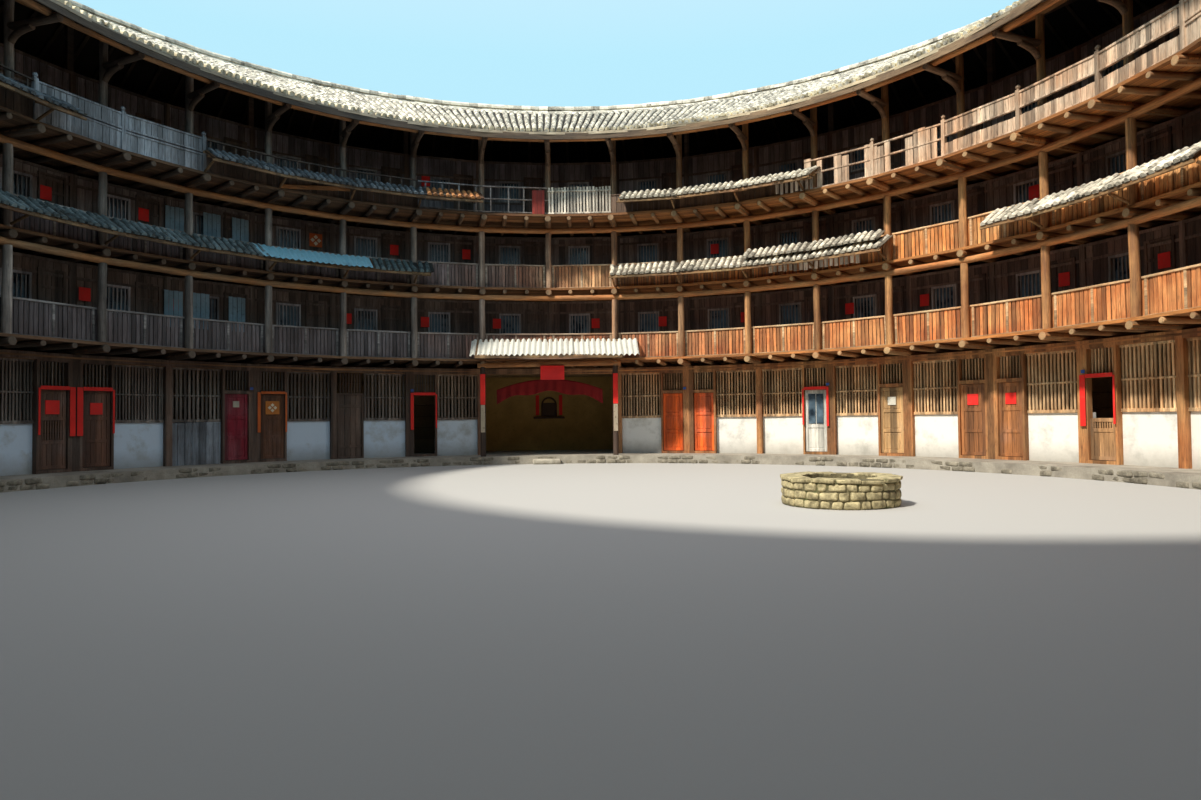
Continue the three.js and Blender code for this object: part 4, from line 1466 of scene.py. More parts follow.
class BuildHall(bpy.types.Operator):
    """Finishes the hall: its back wall, posts, canopy, cloth and blank plaque"""

    bl_idname = "round_house.hall"
    bl_label = "Hall"

    def execute(self, context):
        dressed(["hall_post_west", "hall_post_east"], timber("hall"))
        dressed(["hall_side_wall_west", "hall_side_wall_east"], planks("hall", "Upright", 0.18, "Out"))
        dressed(["hall_canopy_frame"], timber("canopy", "Lengthwise"))
        self.back_wall()
        self.posts()
        self.canopy()
        self.cloth()
        self.lintel()
        return {"FINISHED"}

    def lintel(self):
        """A log across the free posts, with a blank plaque hung from it."""
        y = HALL_POST_Y
        beam = aged(log((-2.35, y - 0.02, 3.24), (2.35, y - 0.02, 3.3), 0.085, 14), 0.03)
        finished(beam, "hall_lintel", timber("beam", "Lengthwise", 3.0, 0.3, "Out"), "hall_timber")
        board = bar((-0.28, 0.48), (y - 0.15, y - 0.12), (2.76, 3.2), 0.01)
        rim = framed((-0.25, 0.45), (y - 0.165, y - 0.12), (2.79, 3.17), 0.04)
        plaque = joined([board, rim])
        finished(plaque, "red_plaque", paint("plaque_red", "f02420", "8a2018", 0.5, 0.1), "hall_timber")

    def back_wall(self):
        """Plaster on the earth wall with a shallow arched niche between two blank strips."""
        panels = []
        half = WALL_INNER_R * math.sin(math.radians(2.5))
        for bearing in (-7.5, -2.5, 2.5, 7.5):
            panel = bar((-half, half), (PLASTER_R, PLASTER_R + 0.075), (PLINTH_TOP, 3.1), 0)
            panels.append(turned_in_place(panel, bearing))
        plaster = paint("ochre_plaster", "b08c4e", "6e5a38", 0.9, 0.6)
        finished(joined(panels), "hall_back_wall", plaster, "hall_boards")
        self.niche()

    def niche(self):
        """An arched niche of dark wood over a shelf, and a blank strip at each side."""
        middle, half, y = -0.07, 0.27, PLASTER_R - 0.04
        angles = np.linspace(0, math.pi, 9)
        arch = [(middle + half * math.cos(a), y, 2.02 + half * math.sin(a)) for a in angles]
        right = [(middle + half, y, z) for z in (1.58, 1.8)]
        left = [(middle - half, y, z) for z in (1.8, 1.58)]
        rim = bent([*right, *arch, *left], 0.035)
        y = (PLASTER_R - 0.02, PLASTER_R - 0.005)
        back = bar((middle - half, middle + half), y, (1.58, 2.1), 0)
        shelf = bar((middle - 0.6, middle + 0.6), (PLASTER_R - 0.25, PLASTER_R), (1.48, 1.56))
        niche = joined([rim, back, shelf])
        finished(niche, "niche", paint("niche_dark", "4a3018", "2a1c10", 0.7, 0.4), "hall_boards")
        y = (PLASTER_R - 0.03, PLASTER_R - 0.02)
        strips = [bar((u - 0.065, u + 0.065), y, (1.62, 2.4), 0.001) for u in (-0.52, 0.38)]
        finished(joined(strips), "niche_strips", red_paper(), "hall_boards")

    def posts(self):
        """Blank red strips on the free posts, over older pale ones that peel."""
        red, pale = [], []
        for side in (-1, 1):
            x, y = side * HALL_POST_X, HALL_POST_Y
            red.append(bar((x - 0.08, x + 0.08), (y - 0.105, y - 0.07), (1.95, 2.95), 0.002))
            pale.append(bar((x - 0.07, x + 0.07), (y - 0.1, y - 0.07), (1.05, 1.94), 0.002))
        finished(joined(red), "hall_post_strips", red_paper(), "hall_timber")
        peeling = paint("peeling", "b4a48c", "4a3a2e", 0.85, 1.0)
        finished(joined(pale), "peeling_strips", peeling, "hall_timber")

    def canopy(self):
        """Pale corrugated sheets side by side, each lapping the next, with uneven ends."""
        low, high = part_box("hall_canopy_sheet")
        width = (high.x - low.x) / CANOPY_SHEETS
        rng = random.Random(6)
        sheets = []
        for place in range(CANOPY_SHEETS):
            x = (low.x + place * width, min(high.x, low.x + (place + 1) * width + 0.05))
            lift = 0.012 * (place % 2)
            y = (low.y + rng.uniform(0, 0.07), high.y)
            slope = (high.z - 0.03 + lift, low.z + 0.035 + lift + rng.uniform(-0.01, 0.015))
            sheets.append(sheet_of_ridges(x, y, CORRUGATION, 0.034, slope, 0.005))
        finished(joined(sheets), "canopy_sheets", sheet_metal("pale_sheet", "d2d0c4", 0.2), "canopy_sheet")
        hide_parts("hall_canopy_sheet")

    def cloth(self):
        """A dark red cloth hung in an arch across the front of the hall."""
        cleared()
        bpy.ops.mesh.primitive_grid_add(x_subdivisions=96, y_subdivisions=8, size=1)
        cloth = bpy.context.active_object
        for vertex in cloth.data.vertices:
            share, fall = vertex.co.x * 2, 0.5 - vertex.co.y
            top = 2.84 - 0.36 * share**2
            deep = 0.45 - 0.05 * math.cos(share * 9)
            fold = 0.03 * math.sin(share * 36) * (0.3 + fall)
            vertex.co = (share * CLOTH_HALF, mid_bay(CLOTH_R) - 0.06 + fold, top - fall * deep)
        smoothed(worked(cloth, "SOLIDIFY", thickness=0.004))
        finished(cloth, "hall_cloth", paint("dark_red_cloth", "861418", "4a0c10", 0.9, 0.35), "hall_timber")


# Upper floors


class BuildFloors(bpy.types.Operator):
    """Lays round joists under the decks of the upper floors"""

    bl_idname = "round_house.floors"
    bl_label = "Floors"

    def execute(self, context):
        sizes = context.scene.round_house.timber
        for floor in FLOORS:
            dressed([f"floor_{floor}"], planks("soffit", "Lengthwise", 0.2, "Out"))
            inner = FLOOR_NOSE[floor]
            z = FLOOR_TOP[floor] - DECK - JOIST / 2
            thick = log((0, inner - 0.01, z), (0, WALL_INNER_R - 0.02, z), sizes.joist_radius)
            thick = round_ring(thick, BAY_LINES)
            z += 0.02
            thin = log((0, inner + 0.03, z), (0, WALL_INNER_R - 0.1, z), sizes.thin_radius, 10)
            thin = round_ring(thin, [b + o for b in BAY_LINES for o in (BAY / 3, 2 * BAY / 3)])
            logs = aged(joined([thick, thin]), 0.03)
            finished(logs, f"joist_logs_{floor}", log_ends("joist"), "floor_timber")
        return {"FINISHED"}


PURLIN_FOOT = roof_under(mid_bay(EAVE_PURLIN_R - HALF_POST)) - BEAM


class BuildGalleries(bpy.types.Operator):
    """Raises round posts, log beams and the brackets under the eave"""

    bl_idname = "round_house.galleries"
    bl_label = "Galleries"

    def execute(self, context):
        sizes = context.scene.round_house.timber
        for floor in FLOORS:
            beam_top = head(f"gallery_frame_{floor}")
            if floor == 4:
                beam_top = roof_under(mid_bay(GALLERY_R - HALF_POST))
            ends = [(x, mid_bay(GALLERY_R), beam_top - BEAM / 2) for x in (-1.14, 1.14)]
            beams = round_ring(log(*ends, sizes.beam_radius), BAY_MIDDLES)
            lines = [b for b in BAY_LINES if not (floor == 2 and b == 0)]
            posts = post(0, GALLERY_R, (FLOOR_TOP[floor], beam_top - BEAM + 0.01), sizes.post_radius)
            uprights = aged(round_ring(posts, lines), sizes.settling)
            wood = timber("post", "Upright", 1.1, 0.55)
            finished(uprights, f"gallery_posts_{floor}", wood, "gallery_timber")
            beams = joined([beams, self.purlin()]) if floor == 4 else beams
            beams = aged(beams, sizes.settling)
            wood = timber("beam", "Lengthwise", 1.1, 0.4, "Out")
            finished(beams, f"gallery_beams_{floor}", wood, "gallery_timber")
            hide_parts(f"gallery_frame_{floor}")
        self.brackets(sizes.settling)
        return {"FINISHED"}

    def purlin(self):
        """Logs under the eave."""
        ends = [(x, mid_bay(EAVE_PURLIN_R), PURLIN_FOOT + BEAM / 2) for x in (-1.02, 1.02)]
        return round_ring(log(*ends, 0.085), BAY_MIDDLES)

    def brackets(self, settling):
        """Crooked arms from the posts, under ties whose round heads carry the purlin at the eave."""
        low = PURLIN_FOOT
        knee = ((12.54, 0.36), (12.42, 0.24), (12.2, 0.15), (11.9, 0.1))
        arm = bent([(0, reach, low - drop) for reach, drop in knee], 0.075)
        tie = log((0, EAVE_PURLIN_R - 0.26, low - 0.03), (0, 12.6, low - 0.01), 0.085, 12)
        arms = aged(round_ring(joined([arm, tie]), BAY_LINES), settling)
        finished(arms, "eave_brackets", timber("bracket", "Outward", 1.1, 0.5), "gallery_timber")


# Parapets


def parapet_place(floor):
    """The foot, the top, the inner face and half the length of a bay's solid parapet."""
    low, top = FLOOR_TOP[floor], RAIL_TOP[floor]
    return low, top, mid_bay(PARAPET_OUT[floor] - BOARD), half_bay(PARAPET_OUT[floor])


def solid_parapet(floor, seed):
    """The close upright boards of one bay."""
    low, top, y, half = parapet_place(floor)
    width = bpy.context.scene.round_house.timber.board_width
    z = (low + 0.03, top - 0.04)
    return boards((-half, half), (y, y + 0.026), z, width, seed, 0.02, (0.004, 0.006, 0.008))


def parapet_rails(floor):
    """The rails above and below the boards of one bay, and the stiles before them."""
    low, top, y, half = parapet_place(floor)
    stiles = [bar((x - 0.032, x + 0.032), (y - 0.02, y + 0.02), (low + 0.02, top - 0.03), 0.005)
              for x in (0.155 - half, 0.0, half - 0.155)]
    return joined([
        bar((-half, half), (y - 0.035, y + 0.06), (top - 0.05, top), 0.008),
        bar((-half, half), (y - 0.03, y + 0.045), (low - 0.03, low + 0.04), 0.008),
        *stiles,
    ])


TOP_Y = mid_bay(TOP_PARAPET_R)
TOP_HALF = half_bay(TOP_PARAPET_R + 0.02)
TOP_SPAN = (-TOP_HALF, TOP_HALF)
TOP_FACE = (TOP_Y + 0.004, TOP_Y + 0.028)
TOP_DECK = FLOOR_TOP[4]


def newel():
    """A squared newel of the top floor with a round head, at a bay line."""
    top, y = RAIL_TOP[4], TOP_PARAPET_R + 0.015
    shaft = bar((-0.05, 0.05), (y - 0.055, y + 0.055), (TOP_DECK - 0.2, top + 0.04), 0.01)
    neck = log((0, y, top + 0.03), (0, y, top + 0.075), 0.035, 10, 0.0)
    knob = log((0, y, top + 0.06), (0, y, top + 0.16), 0.055, 10, 0.03)
    return joined([shaft, neck, knob])


def above_deck(*heights):
    return tuple(TOP_DECK + height for height in heights)


def top_rails(tops, depth=0.05):
    """Rails across a bay of the top floor, by the heights of their tops over the deck."""
    y = (TOP_Y - 0.02, TOP_Y + 0.05)
    return [bar(TOP_SPAN, y, above_deck(top - depth, top), 0.006) for top in tops]


def two_tier_bay(seed):
    lower = boards(TOP_SPAN, TOP_FACE, above_deck(0.03, 0.46), 0.17, seed)
    upper = boards(TOP_SPAN, TOP_FACE, above_deck(0.56, 0.88), 0.14, seed + 50)
    return joined([lower, upper, *top_rails((0.05, 0.5, 0.58, 0.93))])


def open_tier_bay(seed):
    """A two-tier bay with a gap under its middle rail."""
    lower = boards(TOP_SPAN, TOP_FACE, above_deck(0.03, 0.36), 0.14, seed)
    upper = boards(TOP_SPAN, TOP_FACE, above_deck(0.54, 0.88), 0.12, seed + 50)
    stile = bar((-0.035, 0.035), (TOP_Y - 0.012, TOP_Y + 0.02), above_deck(0.54, 0.9), 0.005)
    return joined([lower, upper, stile, *top_rails((0.07, 0.57, 0.93))])


def slatted_bay(seed):
    y = (TOP_Y, TOP_Y + 0.025)
    slats = boards(TOP_SPAN, y, above_deck(0.02, 0.9), 0.105, seed, 0.04, (0.008, 0.004, 0.02))
    return joined([slats, *top_rails((0.08, 0.8))])


def rail_bay(seed):
    y = (TOP_Y + 0.005, TOP_Y + 0.03)
    thin = boards(TOP_SPAN, y, above_deck(0.06, 0.86), 0.52, seed, 0.47, (0.03, 0, 0))
    return joined([thin, *top_rails((0.08, 0.5, 0.9), 0.04)])


def low_bay(seed):
    """A bay behind a small roof, with boards and a rail as high as the roof."""
    low = boards(TOP_SPAN, TOP_FACE, above_deck(0.03, 0.58), 0.17, seed)
    return joined([low, *top_rails((0.05, 0.62), 0.04)])


def covered_bay(seed):
    """A bay behind a small roof: boards as high as the roof, and thin bars over them."""
    lower = boards(TOP_SPAN, TOP_FACE, above_deck(0.03, 0.58), 0.17, seed)
    bars = boards(TOP_SPAN, TOP_FACE, above_deck(0.56, 0.88), 0.34, seed, 0.3, (0.01, 0, 0))
    return joined([lower, bars, *top_rails((0.05, 0.6, 0.92), 0.035)])


def loose_bay(seed):
    """A worn bay: a top rail, some boards and a gap."""
    rng = random.Random(seed)
    x, parts = -TOP_HALF, []
    while x < TOP_HALF - 0.2:
        width = rng.uniform(0.13, 0.24)
        if rng.random() < 0.72:
            z = above_deck(0.02, rng.uniform(0.78, 0.95))
            parts.append(bar((x, x + width), (TOP_Y, TOP_Y + 0.025), z, 0.003))
        x += width + rng.uniform(0.005, 0.03)
    return joined([*parts, *top_rails((0.06, 0.52, 0.9), 0.045)])


TOP_BAYS = {-5: rail_bay, -15: rail_bay, 5: slatted_bay, 45: loose_bay, 55: loose_bay}
TOP_BAYS.update(dict.fromkeys((-85, -75, -45, -35, -25), covered_bay))
TOP_BAYS.update(dict.fromkeys((15, 25, 35), low_bay))
TOP_BAYS.update(dict.fromkeys((65, 75, 85), open_tier_bay))


class BuildParapets(bpy.types.Operator):
    """Boards the parapets of the three galleries"""

    bl_idname = "round_house.parapets"
    bl_label = "Parapets"

    def execute(self, context):
        for floor, kind in ((2, "parapet"), (3, "high parapet")):
            bays = [solid_parapet(floor, floor * 10 + i) for i in range(3)]
            ring = aged(cycled(bays, BAY_MIDDLES), 0.03)
            self.ready(ring, f"parapet_boards_{floor}", timber(kind, "Upright", 0.11, 0.4))
            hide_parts(f"parapet_{floor}")
            rails = aged(round_ring(parapet_rails(floor), BAY_MIDDLES), 0.03)
            self.ready(rails, f"parapet_rails_{floor}", timber("rail", "Lengthwise", 1.3, 0.5, "Up"))
        self.top_floor()
        return {"FINISHED"}

    def ready(self, piece, name, wood):
        return finished(piece, name, wood, "parapet_boards")

    def top_floor(self):
        """Each bay of the top floor as it is, and plain two-tier bays where none is seen."""
        plain, pale, dark = [], [], []
        for bay in (signed(b) for b in BAY_MIDDLES):
            maker = TOP_BAYS.get(bay, two_tier_bay)
            kept = {slatted_bay: pale, covered_bay: dark, low_bay: dark}.get(maker, plain)
            kept.append(turned_in_place(maker(int(bay) + 300), bay))
        plain.append(round_ring(newel(), [b for b in BAY_LINES if abs(signed(b)) > 45]))
        wood = timber("top parapet", "Upright", 0.15, 0.45)
        ring = self.ready(aged(joined(plain), 0.03), "parapet_boards_4", wood)
        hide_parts("parapet_4")
        # Boards behind the small roofs take the darker covered wood: painted shade under those roofs.
        self.ready(aged(joined(dark), 0.03), "covered_boards_4", timber("covered", "Upright", 0.17, 0.5))
        self.ready(aged(joined(pale), 0.03), "parapet_slats_4", timber("pale slats", "Upright", 0.105, 0.5))
        board = bar((-0.5, -0.1), (TOP_Y - 0.06, TOP_Y - 0.03), above_deck(0, 0.78), 0.004)
        self.ready(board, "red_board_4", stained_wood("red_board", "8c2a1c"))


# Rooms

WINDOW_X = (-0.46, 0.16)
WINDOW_SILL = 1.0
WINDOW_SIZE = 0.62
FRONT_Y = mid_bay(ROOM_FRONT_R)
UPPER_DOOR_X = (0.42, 0.98)
UPPER_DOOR_TOP = 1.78
PAPER_Y = (FRONT_Y - 0.062, FRONT_Y - 0.056)
# Bearings of blank red papers and of pale blue boards, by floor
PAPERS = {
    2: (-58.8, -49.3, -28.1, -17.6, -7.5, 6.7, 16.4, 28.1, 42.4, 52.0, 68.2, 78.4),
    3: (-62.8, -52.7, -21.8, -11.8, 65.2, 24.0),
    4: (-17.4, 57.0),
}
BLUE_BOARDS = {2: (-49.3, -46.3, -42.0), 3: (-49.2, -45.0, -41.6)}
LOZENGE_BEARING = -32.2


class BuildRooms(bpy.types.Operator):
    """Finishes the board walls of the upper rooms, with their windows, doors and blank papers"""

    bl_idname = "round_house.rooms"
    bl_label = "Rooms"

    def execute(self, context):
        fronts = (("rooms", ("2",)), ("middle rooms", ("3", "3_hall")), ("top rooms", ("4", "4_hall")))
        for kind, ends in fronts:
            dressed([f"room_front_{end}" for end in ends], planks(kind, "Upright", 0.17, "Along"))
        for floor in FLOORS:
            self.posts(floor)
            self.windows(floor)
            self.doors(floor)
        self.papers()
        self.painted_boards()
        return {"FINISHED"}

    def posts(self, floor):
        """Posts at the bay lines and rails across each bay."""
        z = (FLOOR_TOP[floor], FRONT_TOP[floor])
        y = (ROOM_FRONT_R - 0.04, ROOM_FRONT_R + 0.09)
        upright = round_ring(bar((-0.075, 0.075), y, z), BAY_LINES)
        sill = z[0] + WINDOW_SILL
        rails = [bar((-1.16, 1.16), (FRONT_Y - 0.03, FRONT_Y), (h, h + 0.07))
                 for h in (z[0], sill - 0.13, sill + WINDOW_SIZE + 0.06, z[1] - 0.08)]
        rails = round_ring(joined(rails), BAY_MIDDLES)
        wood = timber("rooms", "Upright", 1.1, 0.6)
        finished(aged(joined([upright, rails]), 0.02), f"room_posts_{floor}", wood, "room_boards")

    def windows(self, floor):
        """A frame and bars before each window, and dusty panes behind them."""
        z = (FLOOR_TOP[floor] + WINDOW_SILL, FLOOR_TOP[floor] + WINDOW_SILL + WINDOW_SIZE)
        surround = framed(WINDOW_X, (FRONT_Y - 0.045, FRONT_Y + 0.05), z, 0.06)
        uprights = boards(WINDOW_X, (FRONT_Y, FRONT_Y + 0.02), z, 0.1, 8, 0.075, (0, 0, 0), 0)
        window = aged(round_ring(joined([surround, uprights]), BAY_MIDDLES), 0.02)
        finished(window, f"room_windows_{floor}", timber("window", "Upright", 0.9, 0.65), "room_boards")
        glass = round_ring(bar(WINDOW_X, (FRONT_Y + 0.045, FRONT_Y + 0.055), z, 0), BAY_MIDDLES)
        finished(glass, f"room_panes_{floor}", pane(), "room_boards")

    def doors(self, floor):
        """A shut door beside each window."""
        base = FLOOR_TOP[floor]
        z = (base + 0.05, base + UPPER_DOOR_TOP)
        surround = framed(UPPER_DOOR_X, (FRONT_Y - 0.05, FRONT_Y), z, 0.06)
        leaf = boards(UPPER_DOOR_X, (FRONT_Y - 0.022, FRONT_Y), z, 0.14, 9)
        y = (FRONT_Y - 0.04, FRONT_Y - 0.02)
        ledges = [bar(UPPER_DOOR_X, y, (base + h, base + h + 0.07)) for h in (0.4, 1.35)]
        door = aged(round_ring(joined([surround, leaf, *ledges]), BAY_MIDDLES), 0.02)
        finished(door, f"room_doors_{floor}", timber("upper door", "Upright", 0.14, 0.35), "room_boards")

    def papers(self):
        """Blank red papers on windows and doors."""
        made = []
        for floor, bearings in PAPERS.items():
            for bearing in bearings:
                z = FLOOR_TOP[floor] + (1.5 if floor == 4 else 1.33)
                sheet = bar((-0.14, 0.14), PAPER_Y, (z - 0.17, z + 0.17), 0.001)
                made.append(in_bays(sheet, [bearing], FRONT_Y))
        finished(joined(made), "room_papers", red_paper(), "room_boards")
        lattice = in_bays(bar((-0.2, 0.2), PAPER_Y, (7.0, 7.42), 0.001), [LOZENGE_BEARING], FRONT_Y)
        finished(lattice, "orange_paper_3", paint("orange_paper", "d0601e"), "room_boards")
        pattern = in_bays(lozenges(0, FRONT_Y - 0.068, 7.21, 0.2), [LOZENGE_BEARING], FRONT_Y)
        finished(pattern, "lozenges_3", paint("pale_paper", "eee0c4"), "room_boards")

    def painted_boards(self):
        """Pale blue board sections at the west."""
        made = []
        y = (FRONT_Y - 0.075, FRONT_Y - 0.055)
        for floor, bearings in BLUE_BOARDS.items():
            z = (FLOOR_TOP[floor] + 0.7, FLOOR_TOP[floor] + 1.72)
            for bearing in bearings:
                made.append(in_bays(boards((-0.25, 0.25), y, z, 0.12, 4), [bearing], FRONT_Y))
        blue = paint("pale_blue_paint", "8fb0c4", "5a5a56", 0.8, 0.6)
        finished(joined(made), "blue_room_boards", blue, "room_boards")


# Small roofs outside the parapets

# Each edge as (reach, height)
PENT_3 = ((12.4897, 6.5), (11.9, 6.1))
PENT_4 = ((11.7997, 8.7), (11.2, 8.35))
UPPER_LAYER = ((12.4, 6.66), (11.97, 6.36))
PENTS = (
    # (node, from bearing, to bearing, edges)
    ("pent_roof_3_west", -80, -18, PENT_3),
    ("pent_roof_3_east", 9.5, 50.5, PENT_3),
    ("pent_roof_3_far_east", 64.5, 90, PENT_3),
    ("pent_roof_4_far_west", -90, -67, PENT_4),
    ("pent_roof_4_west", -50, -10.6, PENT_4),
    ("pent_roof_4_east", 11.5, 42, PENT_4),
)
TILED = (
    # (piece, from bearing, to bearing, edges, tile width, pale, dark); the bluish greys of the west stretches
    # are painted shade, and dark also sets the painted shade of the channels
    ("pent_3_west", -80, -41, PENT_3, 0.13, "76888c", "2c3638"),
    ("pent_3_by_sheet", -26.5, -18, PENT_3, 0.13, "5c7276", "263032"),
    ("pent_3_east", 9.5, 50.5, PENT_3, 0.13, "f6ecd6", "766a5a"),
    ("pent_3_east_upper", 30, 50, UPPER_LAYER, 0.13, "f6ecd6", "766a5a"),
    ("pent_3_far_east", 64.5, 90, PENT_3, 0.13, "f6ecd6", "766a5a"),
    ("pent_4_far_west", -90, -67, PENT_4, 0.12, "6c7880", "2c3236"),
    ("pent_4_west", -50, -19.5, PENT_4, 0.12, "6c7880", "2c3236"),
    ("pent_4_orange", -19.3, -10.6, PENT_4, 0.125, "c88a54", "70482c"),
    ("pent_4_east", 11.5, 42, PENT_4, 0.125, "f6ecd6", "7c705e"),
)
# Pale slats under two roofs: (from bearing, to bearing, reach, heights, step, half width)
PENT_SLATS = ((33.5, 46.8, 12.33, (5.88, 6.4), 0.75, 0.055), (35.8, 41.6, 11.7, (8.1, 8.46), 0.7, 0.045))
SHRINK = math.cos(math.radians(BAY / 2))


class BuildPentRoofs(bpy.types.Operator):
    """Tiles the small roofs outside the parapets and props them"""

    bl_idname = "round_house.pent_roofs"
    bl_label = "Small Roofs"

    def execute(self, context):
        for node, start, end, (back, front) in PENTS:
            dressed([node], planks("canopy", "Outward", 0.2, "Along"))
            self.props(node, start, end, back, front)
        for stretch in TILED:
            self.tiles(*stretch)
        self.blue_sheet()
        self.slats()
        self.leaning_plank()
        return {"FINISHED"}

    def leaning_plank(self):
        """A tan plank under the upper west roof."""
        y = mid_bay(PLANK_R)
        plank = strut((-1.02, y, 8.14), (1.0, y, 8.4), 0.03, 0.12)
        plank = turned_in_place(plank, -35)
        finished(plank, "plank_under_roof", timber("beam", "Lengthwise", 3.0, 0.2, "Out"), "pent_tile")

    def tiles(self, name, start, end, edges, width, pale, dark):
        """Rows of cover tiles with channels between them, over a stretch of a small roof."""
        back, front = edges
        low, high = (front[0] * SHRINK - 0.03, front[1]), (back[0] * SHRINK, back[1])
        pitch = width * 1.5
        bearings = between(start, end, math.degrees(pitch / front[0]))
        rows = in_bays(tile_row(low, high, 3, width), bearings, low[0])
        jumbled(rows, len(bearings) * 3, TILE_JUMBLE, len(bearings))
        finished(aged(rows, 0.05, 1.4), f"{name}_tiles", roof_tile(312, pale, dark, 0.45), "pent_tile")
        channel = half_tile(width * 1.7, math.hypot(back[0] - front[0], back[1] - front[1]), upside=False)
        channel.rotation_euler = (math.atan2(high[1] - low[1], high[0] - low[0]), 0, 0)
        channel.location = (pitch / 2, (low[0] + high[0]) / 2 - 0.04, (low[1] + high[1]) / 2 + width * 0.6)
        only(channel)
        seated()
        channels = aged(in_bays(channel, bearings, low[0]), 0.05, 1.4)
        # The channels go from the stretch's dark colour to near black: painted shade between the rows of
        # cover tiles.
        finished(channels, f"{name}_channels", roof_tile(311, dark, "24201c", 0.5), "pent_tile")

    def slats(self):
        """Pale slats that hang under two of the east roofs."""
        made = []
        for start, end, reach, z, pitch, half in PENT_SLATS:
            y = mid_bay(reach)
            for bearing in between(start, end, pitch):
                slat = bar((-half, half), (y - 0.012, y + 0.012), z, 0.003)
                made.append(in_bays(slat, [bearing], y))
        slats = jumbled(joined(made), len(made), (0.01, 0.006, 0.025), 21)
        finished(aged(slats, 0.04), "pent_slats", timber("pale slats", "Upright", 0.12, 0.5), "pent_tile")

    def props(self, node, start, end, back, front):
        """Battens under the tiles and a strut at each post."""
        y0, y1 = front[0] * SHRINK, back[0] * SHRINK
        lines = [b for b in range(-90, 91, 10) if start <= b <= end]
        foot_z = back[1] - 0.62
        arm = log((0, back[0] - 0.01, foot_z), (0, front[0] + 0.1, front[1] - 0.07), 0.032, 8, 0)
        arms = round_ring(arm, lines)
        bars = []
        for share in (0.04, 0.5, 0.95):
            y, z = y0 + (y1 - y0) * share, front[1] + (back[1] - front[1]) * share - 0.075
            piece = bar((-0.55, 0.55), (y - 0.03, y + 0.03), (z - 0.025, z + 0.03), 0.004)
            bars.append(in_bays(piece, between(start, end, 5.0), y))
        props = aged(joined([arms, *bars]), 0.03)
        finished(props, f"{node}_props", timber("canopy", "Lengthwise"), "pent_tile")

    def blue_sheet(self):
        """Corrugated sheets over one bay of the west roof and the ends of its neighbours."""
        back, front = PENT_3
        half = half_bay(front[0]) + 0.12
        y = (mid_bay(front[0]) - 0.1, mid_bay(back[0]))
        made = []
        stretches = ((-35, (-half, half), 0.05), (-45, (0.55, 1.06), 0.06), (-25, (-1.06, -0.35), 0.06))
        for bay, x, lift in stretches:
            slope = (back[1] + lift, front[1] + lift - 0.04)
            made.append(turned_in_place(sheet_of_ridges(x, y, CORRUGATION, 0.02, slope, 0.004), bay))
        finished(joined(made), "blue_sheet", sheet_metal("pale_blue_sheet", "8cc4d8", 0.12), "pent_tile")


# Stage

SUN_BEARING = 232.8
SUN_HEIGHT = 47.6
# The view: its place, and its turns about Z, X and its own axis in degrees
VIEW_PLACE = (0.255, -13.77, 1.43)
VIEW_TURNS = (-3.12, 91.41, -0.6)


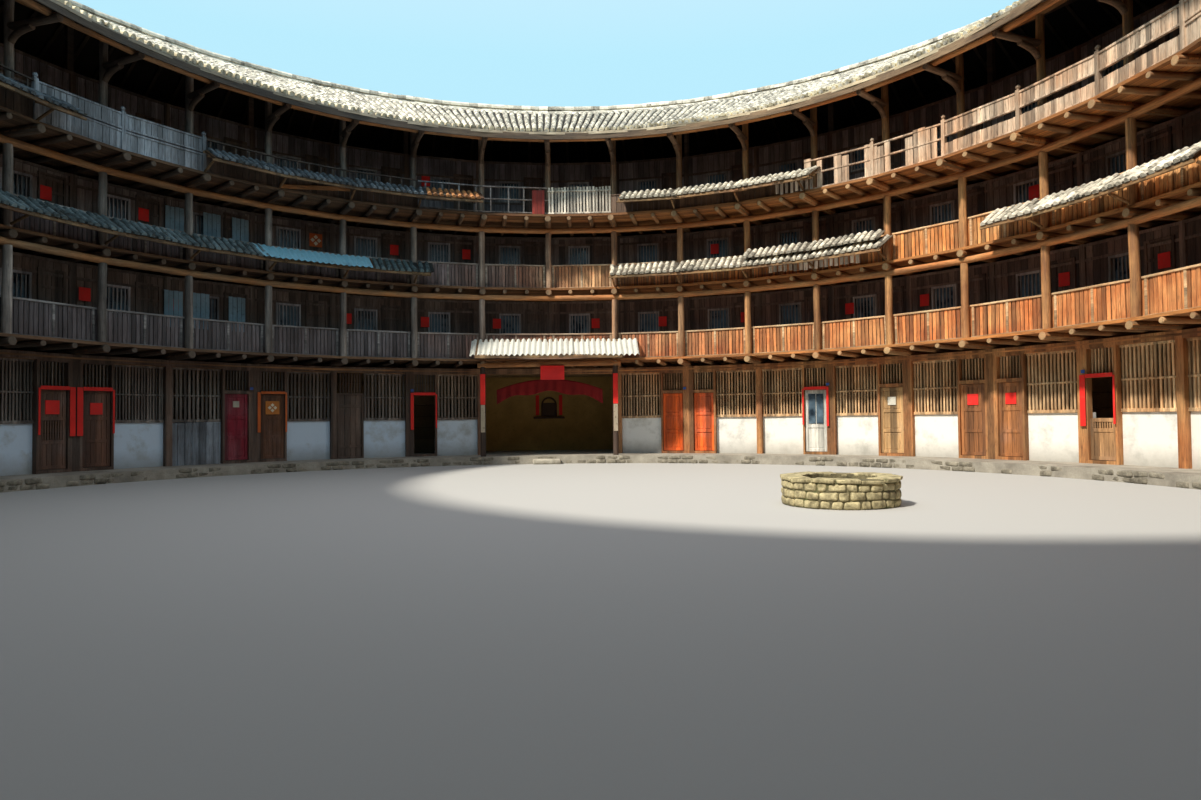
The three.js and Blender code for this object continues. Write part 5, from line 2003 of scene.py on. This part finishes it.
class BuildStage(bpy.types.Operator):
    """Sets the floor, the light and the view"""

    bl_idname = "round_house.stage"
    bl_label = "Stage"

    def execute(self, context):
        chosen = context.scene.round_house.stage
        self.camera(chosen)
        self.light(chosen)
        self.ground(chosen)
        return {"FINISHED"}

    def camera(self, chosen):
        bpy.ops.object.camera_add()
        camera = bpy.context.active_object
        camera.name = "view_from_gate"
        camera.data.lens = chosen.lens
        camera.data.sensor_width = 36
        camera.data.clip_end = 300
        place = Matrix.Translation(VIEW_PLACE)
        for angle, axis in zip(VIEW_TURNS, "ZXZ"):
            place = place @ Matrix.Rotation(math.radians(angle), 4, axis)
        camera.matrix_world = place
        bpy.context.scene.camera = camera

    def light(self, chosen):
        bearing, height = math.radians(SUN_BEARING), math.radians(SUN_HEIGHT)
        flat = math.cos(height)
        source = Vector((math.sin(bearing) * flat, math.cos(bearing) * flat, math.sin(height)))
        bpy.ops.object.light_add(type="SUN", location=source * 40)
        sun = bpy.context.active_object
        sun.name = "soft_sun"
        sun.rotation_euler = (-source).to_track_quat("-Z", "Y").to_euler()
        sun.data.energy = chosen.sun
        sun.data.color = (1.0, 0.95, 0.86)
        sun.data.angle = math.radians(4)
        world = bpy.data.worlds.new("Sky")
        bpy.context.scene.world = world
        world.use_nodes = True
        tree = world.node_tree
        back = tree.nodes["Background"]
        height = split(tree, tree.nodes.new("ShaderNodeTexCoord").outputs["Generated"])[2]
        rise = rescaled(tree, height, 0.42, 0.75)
        feed(tree, back.inputs["Color"], blended(tree, rise, tuple(chosen.low_sky), tuple(chosen.high_sky)))
        back.inputs["Strength"].default_value = chosen.sky
        bpy.context.scene.view_settings.view_transform = "Standard"

    def ground(self, chosen):
        cleared()
        bpy.ops.mesh.primitive_plane_add(size=160, location=(0, 0, -0.002))
        floor = seated()
        floor.name = "floor"
        floor.data.materials.append(shaded(blank("plain_floor", 0.9)[0], tuple(chosen.floor_color)))


STEPS = (
    BuildStage, BuildRoofTiles, BuildRoofTimber, BuildOuterWall, BuildPlinth, BuildWell, BuildGroundFloor,
    BuildDoors, BuildHall, BuildFloors, BuildGalleries, BuildParapets, BuildRooms, BuildPentRoofs,
)


class RoundHousePanel(bpy.types.Panel):
    """Lists the settings and the steps."""

    bl_idname = "VIEW3D_PT_round_house"
    bl_label = "Round House"
    bl_space_type = "VIEW_3D"
    bl_region_type = "UI"
    bl_category = "Round House"

    def draw(self, context):
        house = context.scene.round_house
        for chosen in (house.roof, house.timber, house.stage):
            box = self.layout.box()
            for name in chosen.bl_rna.properties.keys():
                if name not in ("rna_type", "name"):
                    box.prop(chosen, name)
        for step in STEPS:
            self.layout.operator(step.bl_idname)


CLASSES = (RoofSettings, TimberSettings, StageSettings, HouseSettings, *STEPS, RoundHousePanel)


def register():
    for made in CLASSES:
        bpy.utils.register_class(made)
    bpy.types.Scene.round_house = PointerProperty(type=HouseSettings)


def unregister():
    del bpy.types.Scene.round_house
    for made in reversed(CLASSES):
        bpy.utils.unregister_class(made)


def main():
    register()
    for step in STEPS:
        area, name = step.bl_idname.split(".")
        getattr(getattr(bpy.ops, area), name)()


if __name__ == "__main__":
    main()
